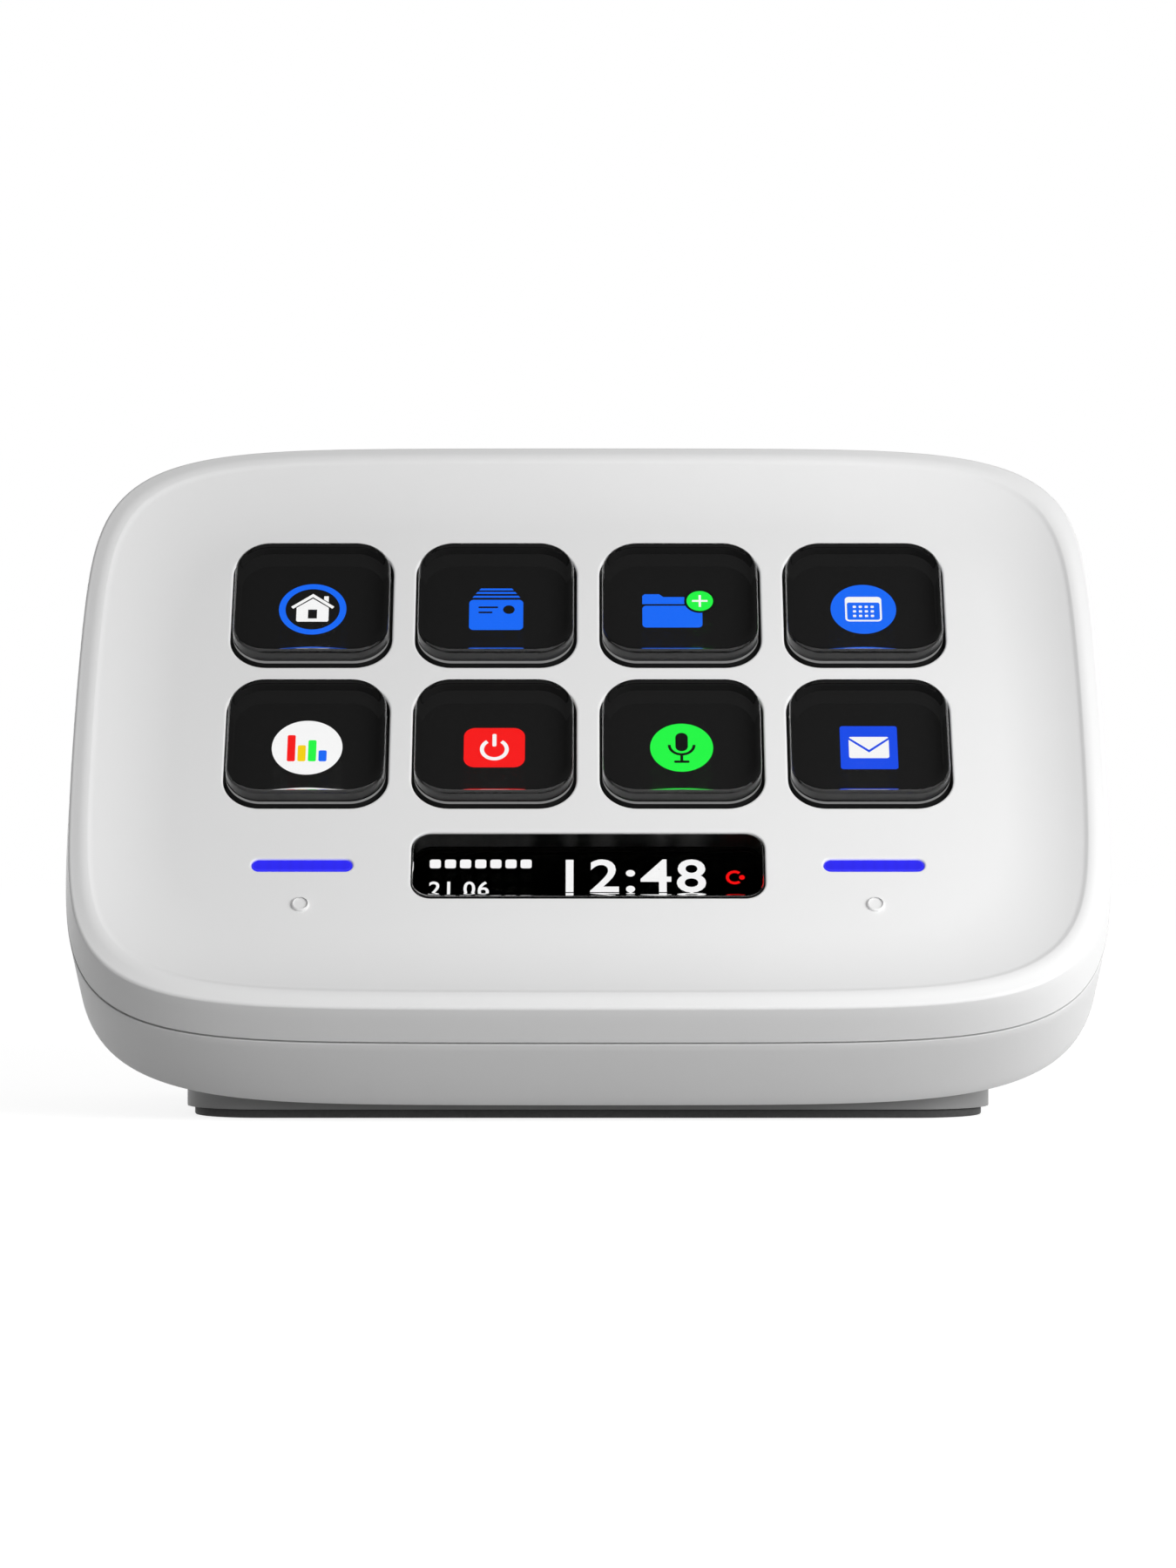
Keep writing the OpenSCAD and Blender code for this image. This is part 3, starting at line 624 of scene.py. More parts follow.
def pixel_group():
    """Rows and columns of a display's cells, as a colour that dims between them."""
    name = "Display cells"
    if name in bpy.data.node_groups:
        return bpy.data.node_groups[name]
    inputs = [
        ("Lit colour", "Color", (1, 1, 1, 1)),
        ("Between cells", "Color", (0.5, 0.5, 0.5, 1)),
        ("Cell pitch", "Float", 6000),
    ]
    group, given, result = node_group(name, "ShaderNodeTree", inputs, [("Color", "Color")])
    place = add_node(group, "ShaderNodeTexCoord")
    cells = add_node(group, "ShaderNodeTexVoronoi", {"Randomness": 0})
    tint = add_node(group, "ShaderNodeMix", data_type="RGBA")
    wire(
        group,
        (place, "Object", cells, "Vector"),
        (given, "Cell pitch", cells, "Scale"),
        (cells, "Distance", tint, MIX_SHARE),
        (given, "Lit colour", tint, MIX_A),
        (given, "Between cells", tint, MIX_B),
        (tint, MIXED, result, "Color"),
    )
    return group


# ------------------------------------------------------------------ materials


def finish(name, group, values, feeds, fixed, depth=None):
    """Material whose shader takes a group's outputs and fixed values; depth is the height of its grain."""
    if made := bpy.data.materials.get(f"{name}_finish"):
        return made
    material = bpy.data.materials.new(f"{name}_finish")
    material.use_nodes = True
    tree = material.node_tree
    shader = tree.nodes["Principled BSDF"]
    source = add_node(tree, "ShaderNodeGroup", node_tree=group)
    for socket, value in values.items():
        source.inputs[socket].default_value = value
    for output, socket in feeds.items():
        wire(tree, (source, output, shader, socket))
    if depth is not None:
        bump = add_node(tree, "ShaderNodeBump", {"Strength": 1, "Distance": depth})
        wire(tree, (source, "Height", bump, "Height"), (bump, "Normal", shader, "Normal"))
    for socket, value in fixed.items():
        shader.inputs[socket].default_value = value
    return material


def grain_finish(name, light, deep, smooth, rough, grain, drift, fixed, depth=None):
    """Finish with the moulded grain in its colour and roughness."""
    values = {
        "Light colour": (*light, 1),
        "Deep colour": (*deep, 1),
        "Smooth": smooth,
        "Rough": rough,
        "Grain scale": grain,
        "Drift scale": drift,
    }
    feeds = {"Color": "Base Color", "Roughness": "Roughness"}
    return finish(name, grain_group(), values, feeds, fixed, depth)


def solid_finish(
    name, light, deep, smooth, rough, grain=4000, drift=60, depth=0.004, metallic=0, coat=0, specular=0.5
):
    """Opaque moulded or metal finish; depth is in millimetres."""
    fixed = {"Metallic": metallic, "Coat Weight": coat, "Specular IOR Level": specular}
    return grain_finish(name, light, deep, smooth, rough, grain, drift, fixed, depth * MM)


def clear_finish(name, ior, rough):
    """Clear moulded acrylic with faint wiped marks in its gloss."""
    tint = 0.99
    fixed = {"IOR": ior, "Transmission Weight": 1}
    return grain_finish(name, grey(tint), grey(0.97 * tint), 0, rough, 90, 30, fixed)


def lit_finish(name, tone, strength, cell_pitch=7000, specular=0.5):
    """Lit part of the display or of a light bar, or a painted glow or highlight."""
    values = {
        "Lit colour": (*tone, 1),
        "Between cells": (*(0.82 * c for c in tone), 1),
        "Cell pitch": cell_pitch,
    }
    fixed = {
        "Emission Strength": strength,
        "Base Color": (*grey(0.01), 1),
        "Roughness": 0.4,
        "Specular IOR Level": specular,
    }
    return finish(name, pixel_group(), values, {"Color": "Emission Color"}, fixed)


def dark_finish(name, tone):
    """Black with a faint painted glow of that tone, in place of the display's stray light."""
    return lit_finish(name, tone, 1, specular=0)


# Light and deep colour, roughness of the smooth and the rough places, and other values of each opaque slot.
OPAQUE = {
    "cover_white": (grey(0.82), grey(0.80), 0.42, 0.52, {"depth": 0.003}),
    "shell_white": (grey(0.80), grey(0.78), 0.46, 0.56, {}),
    # Painted shade: the white stand is given a dark grey, in place of the shadow under the body's overhang.
    "stand_white": (grey(0.32), grey(0.29), 0.46, 0.56, {}),
    "base_black": (grey(0.02), grey(0.012), 0.5, 0.6, {}),
    "pad_rubber": (grey(0.085), grey(0.07), 0.7, 0.9, {"grain": 2500, "depth": 0.03}),
    "frame_black": (grey(0.012), grey(0.009), 0.4, 0.5, {"specular": 0.08}),
    "foam_grey": (grey(0.2), grey(0.12), 0.9, 1, {"grain": 1800, "depth": 0.08}),
    "mat_silicone": (grey(0.003), grey(0.002), 0.6, 0.7, {"specular": 0.05}),
    "film_amber": ((0.004, 0.002, 0.001), (0.003, 0.002, 0.001), 0.4, 0.5, {"specular": 0.1}),
    "display_glass": (grey(0.003), grey(0.002), 0.1, 0.16, {"depth": 0, "specular": 0.2}),
    "diffuser_white": (grey(0.8), grey(0.75), 0.5, 0.6, {}),
    "tray_steel": (grey(0.55), grey(0.45), 0.3, 0.45, {"metallic": 1}),
    "board_green": ((0.01, 0.09, 0.03), (0.008, 0.06, 0.02), 0.3, 0.4, {"coat": 0.3}),
    "chip_black": (grey(0.02), grey(0.014), 0.5, 0.65, {"depth": 0.01}),
    "capacitor_tan": ((0.45, 0.27, 0.12), (0.35, 0.2, 0.08), 0.35, 0.5, {}),
    "connector_ivory": ((0.72, 0.66, 0.5), (0.66, 0.6, 0.44), 0.4, 0.5, {}),
    "socket_steel": (grey(0.62), grey(0.5), 0.22, 0.36, {"drift": 300, "metallic": 1}),
    "tongue_black": (grey(0.015), grey(0.01), 0.35, 0.45, {}),
    "ballast_steel": (grey(0.4), grey(0.3), 0.35, 0.55, {"metallic": 1}),
    "screw_steel": (grey(0.5), grey(0.38), 0.25, 0.42, {"drift": 500, "metallic": 1}),
}


def opaque(slot):
    """The finish of an opaque material slot."""
    *look, other = OPAQUE[slot]
    return solid_finish(slot, *look, **other)


def slot_of(node):
    """The material slot that the record gives to a CAD node."""
    for part in frame["record"]["subparts"]:
        if part["node"] == node:
            return part["material_slot"]
    raise RuntimeError(f"the record names no material slot for {node}")


# ------------------------------------------------------------------ front cover


def level_of_face(share):
    """Level of the dished face, from the flat (0) to the crest of the rim (1)."""
    return COVER_HIGH.z - settings("shell").dish_depth * (1 - share * share)


def bar_size(node):
    """Width and height of a light bar's lit face."""
    size, lip = face_size(node), settings("keys").bar_lip
    return size.x - 2 * lip, size.y - 2 * lip


def windows():
    """Every window in the face: width, height, corner radius and centre."""
    keys = settings("keys")
    width = KEY_HIGH.x - KEY_LOW.x - 2 * (keys.lip - keys.gap)
    found = [(width, width, keys.corner + keys.gap, KEY_CENTRES[name]) for name in KEY_NODES]
    lens = face_size("info_lens")
    reach = 2 * (keys.info_lip - keys.lens_gap)
    found.append((lens.x - reach, lens.y - reach, keys.info_corner, face_centre("info_lens")))
    for node in BAR_NODES:
        w, h = (side + 2 * keys.lens_gap for side in bar_size(node))
        found.append((w, h, h / 2 - HAIR, face_centre(node)))
    return found


def cover_top(outline):
    """Rings from the flat of the face over the slope, the crest and the rim band to the outer wall."""
    sizes = settings("shell")
    soft, rim, width = sizes.crest, sizes.rim_width, sizes.dish_width
    last = 1 - soft / width
    slope = [
        outline.ring(rim + width - width * share, level_of_face(share)) for share in np.linspace(0, last, 25)
    ]
    # One parabola blends the slope into the rim band.
    slope_in = 2 * sizes.dish_depth * last / width
    slope_out = sizes.rim_fall / (rim - sizes.outer_round)
    bend = (slope_in + slope_out) / (4 * soft)
    profile = [
        (rim + soft - along, level_of_face(last) + slope_in * along - bend * along * along)
        for along in np.linspace(0, 2 * soft, 9)[1:]
    ]
    lift = COVER_HIGH.z - max(level for _, level in profile)
    crest_end = profile[-1][1]
    band = rim - soft - sizes.outer_round
    profile += [(rim - soft - along, crest_end - slope_out * along) for along in np.linspace(0, band, 4)[1:]]
    edge = crest_end - slope_out * band
    profile += [(inset, edge - drop) for inset, drop in quarter_round(sizes.outer_round, 6)[1:]]
    return slope + [[(x, y, z + lift) for x, y, z in outline.ring(*step)] for step in profile]


def cover_wall(outline, top):
    """Rings down the outer wall to the seam, with a fine groove just above it."""
    sizes = settings("shell")
    seam, groove = SEAM + sizes.seam, sizes.seam_round
    rings = [outline.ring(0, level) for level in np.linspace(top, seam + 2 * groove, 4)[1:]]
    return rings + [outline.ring(groove - drop, seam + inset) for inset, drop in quarter_round(groove, 3)]


def cover_inside(outline):
    """Rings from the seam round the tongue, up the inner wall and under the dished face."""
    sizes = settings("shell")
    seam = SEAM + sizes.seam
    low = seam - sizes.tongue
    under_rim, clear = 0.9, 0.5 * MM
    corner = level_of_face(under_rim) - sizes.plate - clear
    profile = [(sizes.tongue_in, seam), (sizes.tongue_in, low), (sizes.wall, low), (sizes.wall, corner)]
    for share in np.linspace(under_rim, 0, 7):
        inset = max(sizes.rim_width + sizes.dish_width * (1 - share), sizes.wall + clear)
        profile.append((inset, level_of_face(share) - sizes.plate))
    return [outline.ring(*step) for step in profile]


def add_windows(skin):
    """Adds the windows' walls, and returns the rings that each leaves in the face and under it."""
    sizes = settings("shell")
    plate, soft = level_of_face(0), sizes.window_round
    steps = [(soft + 0.12 * MM, plate)]
    steps += [(inset, plate - drop) for inset, drop in quarter_round(soft, 5)]
    steps.append((0, plate - sizes.plate))
    return [
        skin.loft([round_rect(w + 2 * grow, h + 2 * grow, r + grow, centre, level) for grow, level in steps])
        for w, h, r, centre in windows()
    ]


def add_touch_points(skin):
    """Adds the raised touch points, and returns the ring round each in the face."""
    sizes = settings("shell")
    plate, radius, rise = level_of_face(0), sizes.dot / 2, sizes.dot_rise
    wall = 0.35 * rise
    steps = [(radius + 0.2 * MM, plate), (radius, plate), (radius, plate + wall)]
    steps += [(radius - drop, plate + rise - inset) for inset, drop in quarter_round(rise - wall, 5)[-2::-1]]
    found = []
    for node in TOUCH_NODES:
        foot, top = skin.loft([circle(r, face_centre(node), level) for r, level in steps])
        skin.cap(top)
        found.append(foot)
    return found


def front_cover_mesh():
    outline, skin = Outline(), Skin()
    outside = cover_top(outline)
    outside += cover_wall(outline, outside[-1][0][2])
    seam = len(outside)
    # The rings round the seam get painted shade, strongest in the gap.
    first, last = skin.loft(outside + cover_inside(outline), {seam - 1: 0.4, seam: 1, seam + 1: 1})
    face_holes, under_holes = zip(*add_windows(skin))
    skin.fill(first, [*face_holes, *add_touch_points(skin)])
    skin.fill(last, under_holes)
    return lay_on_face(skin.mesh("front_cover_shell"))


class KEYPAD_OT_front_cover(bpy.types.Operator):
    """Model the dished front cover with its windows and touch points"""

    bl_idname = "keypad.front_cover"
    bl_label = "Front cover"

    def execute(self, context):
        add_piece(front_cover_mesh(), opaque("cover_white"), "body", ["front_cover"])
        return {"FINISHED"}


class KEYPAD_OT_linings(bpy.types.Operator):
    """Line the windows of the keys and the info strip in black"""

    bl_idname = "keypad.linings"
    bl_label = "Window linings"

    def execute(self, context):
        keys, black = settings("keys"), opaque("frame_black")
        high = level_of_face(0) - keys.lining_low
        low = level_of_face(0) - settings("shell").plate - 2 * HAIR
        inner = HAIR + keys.lining

        def lining(name, width, height, radius, centre):
            return hoop(name, [
                round_rect(width - 2 * inset, height - 2 * inset, radius - inset, centre, level)
                for inset, level in ((HAIR, low), (HAIR, high), (inner, high), (inner, low))
            ])

        key_window, info_window = (windows()[i] for i in (0, len(KEY_NODES)))
        one = lining("one_lining", *key_window[:3], (0, 0))
        mesh = spread(one, "key_window_linings", 4, 2, 3 * KEY_PITCH, KEY_PITCH, black)
        centre = sum(KEY_CENTRES.values(), Vector()) / len(KEY_NODES)
        mesh.transform(Matrix.Translation((centre.x, centre.y, 0)))
        tidy(mesh)
        add_piece(lay_on_face(mesh), black, "body")
        add_piece(lay_on_face(lining("info_window_lining", *info_window)), black, "body")
        return {"FINISHED"}


# ------------------------------------------------------------------ rear shell, stand and screws

SCREW_HEAD = 1.8 * MM  # radius
WELL_FLOOR = 1.6 * MM  # level that a screw's head sits on
# Radius and level of a screw well's steps in millimetres, from the shell's back to its inside.
WELL = ((2.15, 0), (2.03, 0.12), (2.0, 0.3), (2.0, 1.6), (1.2, 1.6), (1.2, 3.1), (2.8, 3.1), (2.8, 2.0))


def screw_places():
    """Centres of the four screws of the cover, in the face's frame."""
    low, high = face_box("cover_screws")
    middle, half = (low.y + high.y) / 2, (high.y - low.y) / 2 - SCREW_HEAD
    return [Vector((sx * (high.x - SCREW_HEAD), middle + sy * half)) for sx, sy in QUARTERS]


def rear_shell_mesh():
    sizes = settings("shell")
    outline, skin = Outline(), Skin()
    back, soft = sizes.back_round, sizes.seam_round
    profile = quarter_round(back, 6)
    profile += [(0, level) for level in np.linspace(back, SEAM - soft, 9)[1:]]
    profile += [(drop, SEAM - inset) for inset, drop in quarter_round(soft, 3)[1:]]
    seam = len(profile)
    profile += [(sizes.lip_in, SEAM), (sizes.lip_in, SEAM - sizes.lip)]
    profile += [(sizes.wall, SEAM - sizes.lip), (sizes.wall, sizes.floor)]
    # The rings round the seam get painted shade, strongest in the gap.
    first, last = skin.loft([outline.ring(*step) for step in profile], {seam - 1: 0.4, seam: 1, seam + 1: 1})
    wells = [skin.loft([circle(r * MM, centre, z * MM) for r, z in WELL]) for centre in screw_places()]
    back_holes, floor_holes = zip(*wells)
    skin.fill(first, back_holes)
    skin.fill(last, floor_holes)
    return lay_on_face(skin.mesh("rear_shell_moulding"))


class KEYPAD_OT_rear_shell(bpy.types.Operator):
    """Model the tapered rear shell with its screw wells"""

    bl_idname = "keypad.rear_shell"
    bl_label = "Rear shell"

    def execute(self, context):
        add_piece(rear_shell_mesh(), opaque("shell_white"), "body", ["rear_shell"])
        return {"FINISHED"}


class KEYPAD_OT_stand(bpy.types.Operator):
    """Soften the stand, its pad and the cable socket"""

    bl_idname = "keypad.stand"
    bl_label = "Stand and socket"

    def execute(self, context):
        for node, name, width in (
            ("stand", "stand_moulding", 0.3 * MM),
            ("base_pad", "rubber_pad", 0.2 * MM),
            ("usb_socket", "socket_sleeve", 0.05 * MM),
            ("usb_tongue", "socket_tongue", 0.08 * MM),
        ):
            slot = slot_of(node)
            add_piece(softened_copy(node, name, width), opaque(slot), "body", [node])
        return {"FINISHED"}


def screw_mesh(name):
    """Pan head with a cross recess, its seat at the origin and its face along -Z."""
    skin = Skin()
    height, recess = 1.2 * MM, 0.6 * MM
    shank, reach = 0.95 * MM, 4 * MM
    arm, half = 1.1 * MM, 0.22 * MM

    def cross(scale, level):
        a, h = arm * scale, half * scale
        quarter, ring = [(a, -h), (a, h), (h, h)], []
        for _ in range(4):
            ring += [(x, y, level) for x, y in quarter]
            quarter = [(-y, x) for x, y in quarter]
        return ring

    steps = [(shank, reach), (shank, 0), (SCREW_HEAD, 0), (SCREW_HEAD, -height / 2)]
    edge = quarter_round(height / 2, 5)[-2::-1]
    steps += [(SCREW_HEAD - 0.8 * drop, inset - height) for inset, drop in edge]
    first, last = skin.loft([circle(radius, (0, 0), level) for radius, level in steps])
    skin.cap(first)
    upper, lower = skin.loft([cross(1, -height), cross(0.6, recess - height)])
    skin.fill(lower)
    skin.fill(last, [upper])
    return skin.mesh(name)


class KEYPAD_OT_screws(bpy.types.Operator):
    """Set the screws that show in the rear shell's wells"""

    bl_idname = "keypad.screws"
    bl_label = "Screws"

    def execute(self, context):
        steel = opaque("screw_steel")
        upper, _, _, lower = screw_places()
        mesh = spread(screw_mesh("one_screw"), "shell_screws", 2, 2, 2 * upper.x, upper.y - lower.y, steel)
        mesh.transform(Matrix.Translation((0, (upper.y + lower.y) / 2, WELL_FLOOR)))
        tidy(mesh)
        add_piece(lay_on_face(mesh), steel, "body", ["cover_screws"])
        return {"FINISHED"}


# ------------------------------------------------------------------ clear keys, mat and lens


class Block:
    """A clear block in the face: size, corner radius, centre, levels, top rounding and inward tapers."""

    CORNER_STEPS = 14

    def __init__(self, size, corner, centre, low, high, rounding, taper=(0.0, 0.0)):
        self.size, self.corner, self.centre = size, corner, centre
        self.low, self.high, self.rounding, self.taper = low, high, rounding, taper

    def ring(self, grow, level):
        share = (level - self.low) / (self.high - self.low)
        width, height = (side + 2 * (grow - taper * share) for side, taper in zip(self.size, self.taper))
        radius = max(self.corner + grow - self.taper[0] * share, COAT)
        return round_rect(width, height, radius, self.centre, level, self.CORNER_STEPS)

    def mesh(self, name, lip, lip_low, lip_t, pocket=None):
        """The block with a lip round it, and a pocket of (inset, level) in its underside if it has one."""
        steps = []
        if pocket:
            inset, level = pocket
            steps += [(-inset, level), (-inset, self.low)]
        if lip_low > self.low:
            steps += [(0, self.low), (0, lip_low)]
        lip_top = lip_low + lip_t
        steps += [(lip - COAT, lip_low), (lip, lip_low + COAT), (lip, lip_top - COAT), (lip - COAT, lip_top)]
        steps += [(COAT, lip_top), (0, lip_top + COAT)]
        steps += [(-inset, self.high - drop) for inset, drop in quarter_round(self.rounding, 12)[::-1]]
        steps.append((-self.rounding - 0.08 * MM, self.high))
        skin = Skin()
        skin.solid([self.ring(*step) for step in steps])
        return lay_on_face(skin.mesh(name, sharp=math.radians(40)))

    def coat_rings(self, inset, low, high):
        """Corners of a thin coat behind the block's clear wall."""
        inner = inset + COAT
        steps = ((inset, low), (inset, high), (inner, high), (inner, low))
        return [self.ring(-i, level) for i, level in steps]

    def skirt(self, name, inset, low, high):
        """Thin coat behind the whole of the clear wall."""
        return lay_on_face(hoop(name, self.coat_rings(inset, low, high)))

    def painted_highlight_line(self, name, inset, low, high):
        """Painted highlight: a thin glowing line behind the block's left, near and right walls."""
        quarter = self.CORNER_STEPS + 1
        rings = self.coat_rings(inset, low, high)
        skin = Skin()
        skin.solid([[ring[k] for ring in rings] for k in (*range(2 * quarter - 1, 4 * quarter), 0)])
        return lay_on_face(skin.mesh(name))

    def mask(self, name, inset, level):
        """Thin dark frame in the block's underside, wide along the upper edge."""
        keys = settings("keys")
        wider = keys.mask - keys.mask_side
        width, height = (side - 2 * (inset + keys.mask_side) for side in self.size)
        middle = (self.centre.x, self.centre.y - wider / 2)

        def loops(z):
            return self.ring(-inset, z), round_rect(width, height - wider, keys.mask_corner, middle, z)

        skin = Skin()
        skin.plate(loops, (level - HAIR, level + 2 * HAIR))
        return lay_on_face(skin.mesh(name, smooth=False))


def let_light_by(piece):
    """Keeps a piece of a clear key from shading the face round it."""
    piece.visible_shadow = piece.visible_diffuse = False


def key_width():
    """Width of a key without its lip."""
    return KEY_HIGH.x - KEY_LOW.x - 2 * settings("keys").lip


def key_block(node):
    """The clear block of a key."""
    keys = settings("keys")
    size = (key_width() + 2 * keys.widen, key_width())
    taper = (keys.side_taper, keys.taper)
    return Block(size, keys.block_corner, KEY_CENTRES[node], KEY_LOW.z, KEY_HIGH.z, keys.rounding, taper)


class KEYPAD_OT_keys(bpy.types.Operator):
    """Model the eight clear keys with their black skirts, painted edge highlights and masks"""

    bl_idname = "keypad.keys"
    bl_label = "Clear keys"

    def execute(self, context):
        keys = settings("keys")
        acrylic = clear_finish("key_clear", 1.49, 0.02)
        # Skirts and masks are black with a faint painted glow.
        dark = dark_finish("skirt_dark", settings("picture").skirt)
        # Painted highlight: a faint grey glow behind each key's walls stands in for light caught at its edges.
        painted_edge_highlight = lit_finish("painted_edge_highlight", grey(0.25), 1, 900)
        face, inset = level_of_face(0), keys.skirt_in
        for index, node in enumerate(KEY_NODES, 1):
            block = key_block(node)
            pocket = (keys.foot, block.high - keys.block)
            clear = block.mesh(f"clear_key_{index}", keys.lip - keys.widen, block.low, keys.flange, pocket)
            skirt = block.skirt(f"key_skirt_{index}", inset, block.low + COAT, face - keys.lining_low)
            edge = block.painted_highlight_line(f"key_painted_highlight_{index}", inset, face - 0.2 * MM, face + 0.12 * MM)
            mask = block.mask(f"key_mask_{index}", keys.foot + 3 * HAIR, block.high - keys.block)
            for mesh, material, slot, replaced in (
                (clear, acrylic, "key_clear", [node]),
                (skirt, dark, "frame_black", ()),
                (edge, painted_edge_highlight, "display_glass", ()),
                (mask, dark, "frame_black", ()),
            ):
                let_light_by(add_piece(mesh, material, f"key_{index}", replaced))
        return {"FINISHED"}


class KEYPAD_OT_key_mat(bpy.types.Operator):
    """Model the silicone mat with a soft collar under each key"""

    bl_idname = "keypad.key_mat"
    bl_label = "Key mat"

    def execute(self, context):
        keys, silicone = settings("keys"), opaque("mat_silicone")
        low, high = face_box("key_mat")
        size, centre = high - low, (low + high) / 2
        deck = low.z + keys.mat
        inner = key_width() - 2 * keys.collar_grip
        loops = [(size.x, size.y, keys.mat_corner, centre)]
        loops += [(inner, inner, keys.mat_window, place) for place in KEY_CENTRES.values()]
        loops += windows()[len(KEY_NODES) :]
        skin = Skin()
        skin.plate(lambda level: [round_rect(*loop, level) for loop in loops], (low.z, deck))
        mesh = lay_on_face(skin.mesh("silicone_mat", smooth=False))
        add_piece(mesh, silicone, "body", ["key_mat"])

        foot = deck + HAIR / 2
        outside = (key_width() + 2 * keys.collar_edge, keys.corner + keys.collar_edge)
        inside = (inner, keys.mat_window)
        corners = ((*outside, foot), (*outside, high.z), (*inside, high.z), (*inside, foot))
        for index, node in enumerate(KEY_NODES, 1):
            place = KEY_CENTRES[node]
            rings = [round_rect(side, side, radius, place, level) for side, radius, level in corners]
            mesh = lay_on_face(hoop(f"key_collar_{index}", rings))
            collar = add_piece(mesh, silicone, "body", ["key_mat"])
            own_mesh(collar)
        return {"FINISHED"}


class KEYPAD_OT_info_strip(bpy.types.Operator):
    """Model the info lens with its black edge, and the two light bars"""

    bl_idname = "keypad.info_strip"
    bl_label = "Info lens and light bars"

    def execute(self, context):
        keys = settings("keys")
        low, high = face_box("info_lens")
        under = level_of_face(0) - settings("shell").plate
        size = (high.x - low.x - 2 * keys.info_lip, high.y - low.y - 2 * keys.info_lip)
        corner = keys.info_corner - keys.lens_gap
        lens = Block(size, corner, face_centre("info_lens"), low.z, high.z, keys.info_round)
        mesh = lens.mesh("info_lens_clear", keys.info_lip, under - 0.8 * MM - keys.flange, keys.flange)
        add_piece(mesh, clear_finish("lens_clear", 1.5, 0.015), "body", ["info_lens"])
        edge = lens.skirt("info_lens_edge", keys.skirt_in, low.z + COAT, level_of_face(0) - keys.lining_low)
        add_piece(edge, opaque("frame_black"), "body")
        lit = lit_finish("bar_blue", settings("picture").bar_blue, 1, 900)
        for node in BAR_NODES:
            low, high = face_box(node)
            size = bar_size(node)
            bar = Block(size, size[1] / 2 - HAIR, face_centre(node), low.z, high.z, keys.bar_round)
            name = node.replace("light", "lit")
            mesh = bar.mesh(name, keys.bar_lip, under - 0.1 * MM - keys.flange, keys.flange)
            add_piece(mesh, lit, "body", [node])
        return {"FINISHED"}


# ------------------------------------------------------------------ display picture


class Picture:
    """Thin closed shapes that ride on a body, one mesh for each colour."""

    GAP = 0.2  # space under each layer, as a share of the layer's thickness

    def __init__(self, name, body, place, level, glow):
        self.name, self.body, self.place, self.level, self.glow = name, body, place, level, glow
        self.skins = {}
        self.layer = settings("picture").layer

    def low(self, deck):
        """Level of a layer's underside."""
        return self.level + self.layer * (self.GAP + (1 + self.GAP) * deck)

    def add(self, tone, outer, holes=(), deck=0):
        """Adds a shape of one colour, given by loops in millimetres round the middle, on the given layer."""
        x0, y0 = self.place

        def loops(level):
            return [[(x0 + x * MM, y0 + y * MM, level) for x, y in loop] for loop in (outer, *holes)]

        skin = self.skins.setdefault(tone, Skin())
        skin.plate(loops, (self.low(deck), self.low(deck) + self.layer))

    def add_mesh(self, name, mesh, tone, x, y, deck=0):
        """Places a ready mesh of one colour, drawn in metres round its own origin."""
        place = (self.place[0] + x * MM, self.place[1] + y * MM, self.low(deck))
        mesh.transform(Matrix.Translation(place))
        mesh.name = f"{self.name}_{name}"
        tidy(mesh, smooth=False)
        add_piece(lay_on_face(mesh), self.glow[tone], self.body)

    def finish(self):
        for tone, skin in self.skins.items():
            mesh = lay_on_face(skin.mesh(f"{self.name}_{tone}", smooth=False))
            add_piece(mesh, self.glow[tone], self.body)


def disc(radius, x=0.0, y=0.0, steps=64):
    return [(px, py) for px, py, _ in circle(radius, (x, y), 0, steps)]


def tile(width, height, radius, x=0.0, y=0.0):
    return [(px, py) for px, py, _ in round_rect(width, height, radius, (x, y), 0, 8)]


def arc_band(radius, thickness, start, end, x=0.0, y=0.0, steps=40):
    """Band along an arc between two angles in degrees."""
    angles = [math.radians(start + (end - start) * i / steps) for i in range(steps + 1)]
    outer, inner = (
        [(x + reach * math.cos(angle), y + reach * math.sin(angle)) for angle in angles]
        for reach in (radius + thickness / 2, radius - thickness / 2)
    )
    return outer + inner[::-1]


def bar(half, y, lean=0.0):
    """Thin level bar whose lower edge is longer by the lean at each end."""
    thin = 0.13
    return [(-half - lean, y - thin), (half + lean, y - thin), (half, y + thin), (-half, y + thin)]


def thin_tile(name, width, height, radius):
    """Flat rounded tile, as thick as one layer, in millimetres round the origin."""
    skin = Skin()
    size = (width * MM, height * MM, radius * MM)
    skin.solid([round_rect(*size, (0, 0), level, 4) for level in (0, settings("picture").layer)])
    return skin.mesh(name, smooth=False)


def numerals(text, height, name):
    """Bold numerals of the built-in face, one layer thick, with their lower left corner at the origin."""
    curve = bpy.data.curves.new(name, "FONT")
    curve.body = text
    curve.size = 1
    curve.offset = 0.012
    curve.space_character = 1.1
    curve.resolution_u = 4
    flat = evaluated_mesh(curve, name)
    xs, ys = ([vertex.co[i] for vertex in flat.vertices] for i in (0, 1))
    scale = height / (max(ys) - min(ys))
    flat.transform(Matrix.Scale(scale, 4) @ Matrix.Translation((-min(xs), -min(ys), 0)))
    tidy(flat, smooth=False)
    skin = Skin()
    sheets = [
        skin.ring([(vertex.co.x, vertex.co.y, level) for vertex in flat.vertices])
        for level in (0, settings("picture").layer)
    ]
    low, high = sheets
    for polygon in flat.polygons:
        skin.faces += [tuple(sheet[i] for i in polygon.vertices) for sheet in sheets]
    uses = Counter(edge for polygon in flat.polygons for edge in polygon.edge_keys)
    skin.faces += [(low[a], low[b], high[b], high[a]) for (a, b), count in uses.items() if count == 1]
    return skin.mesh(name, smooth=False)


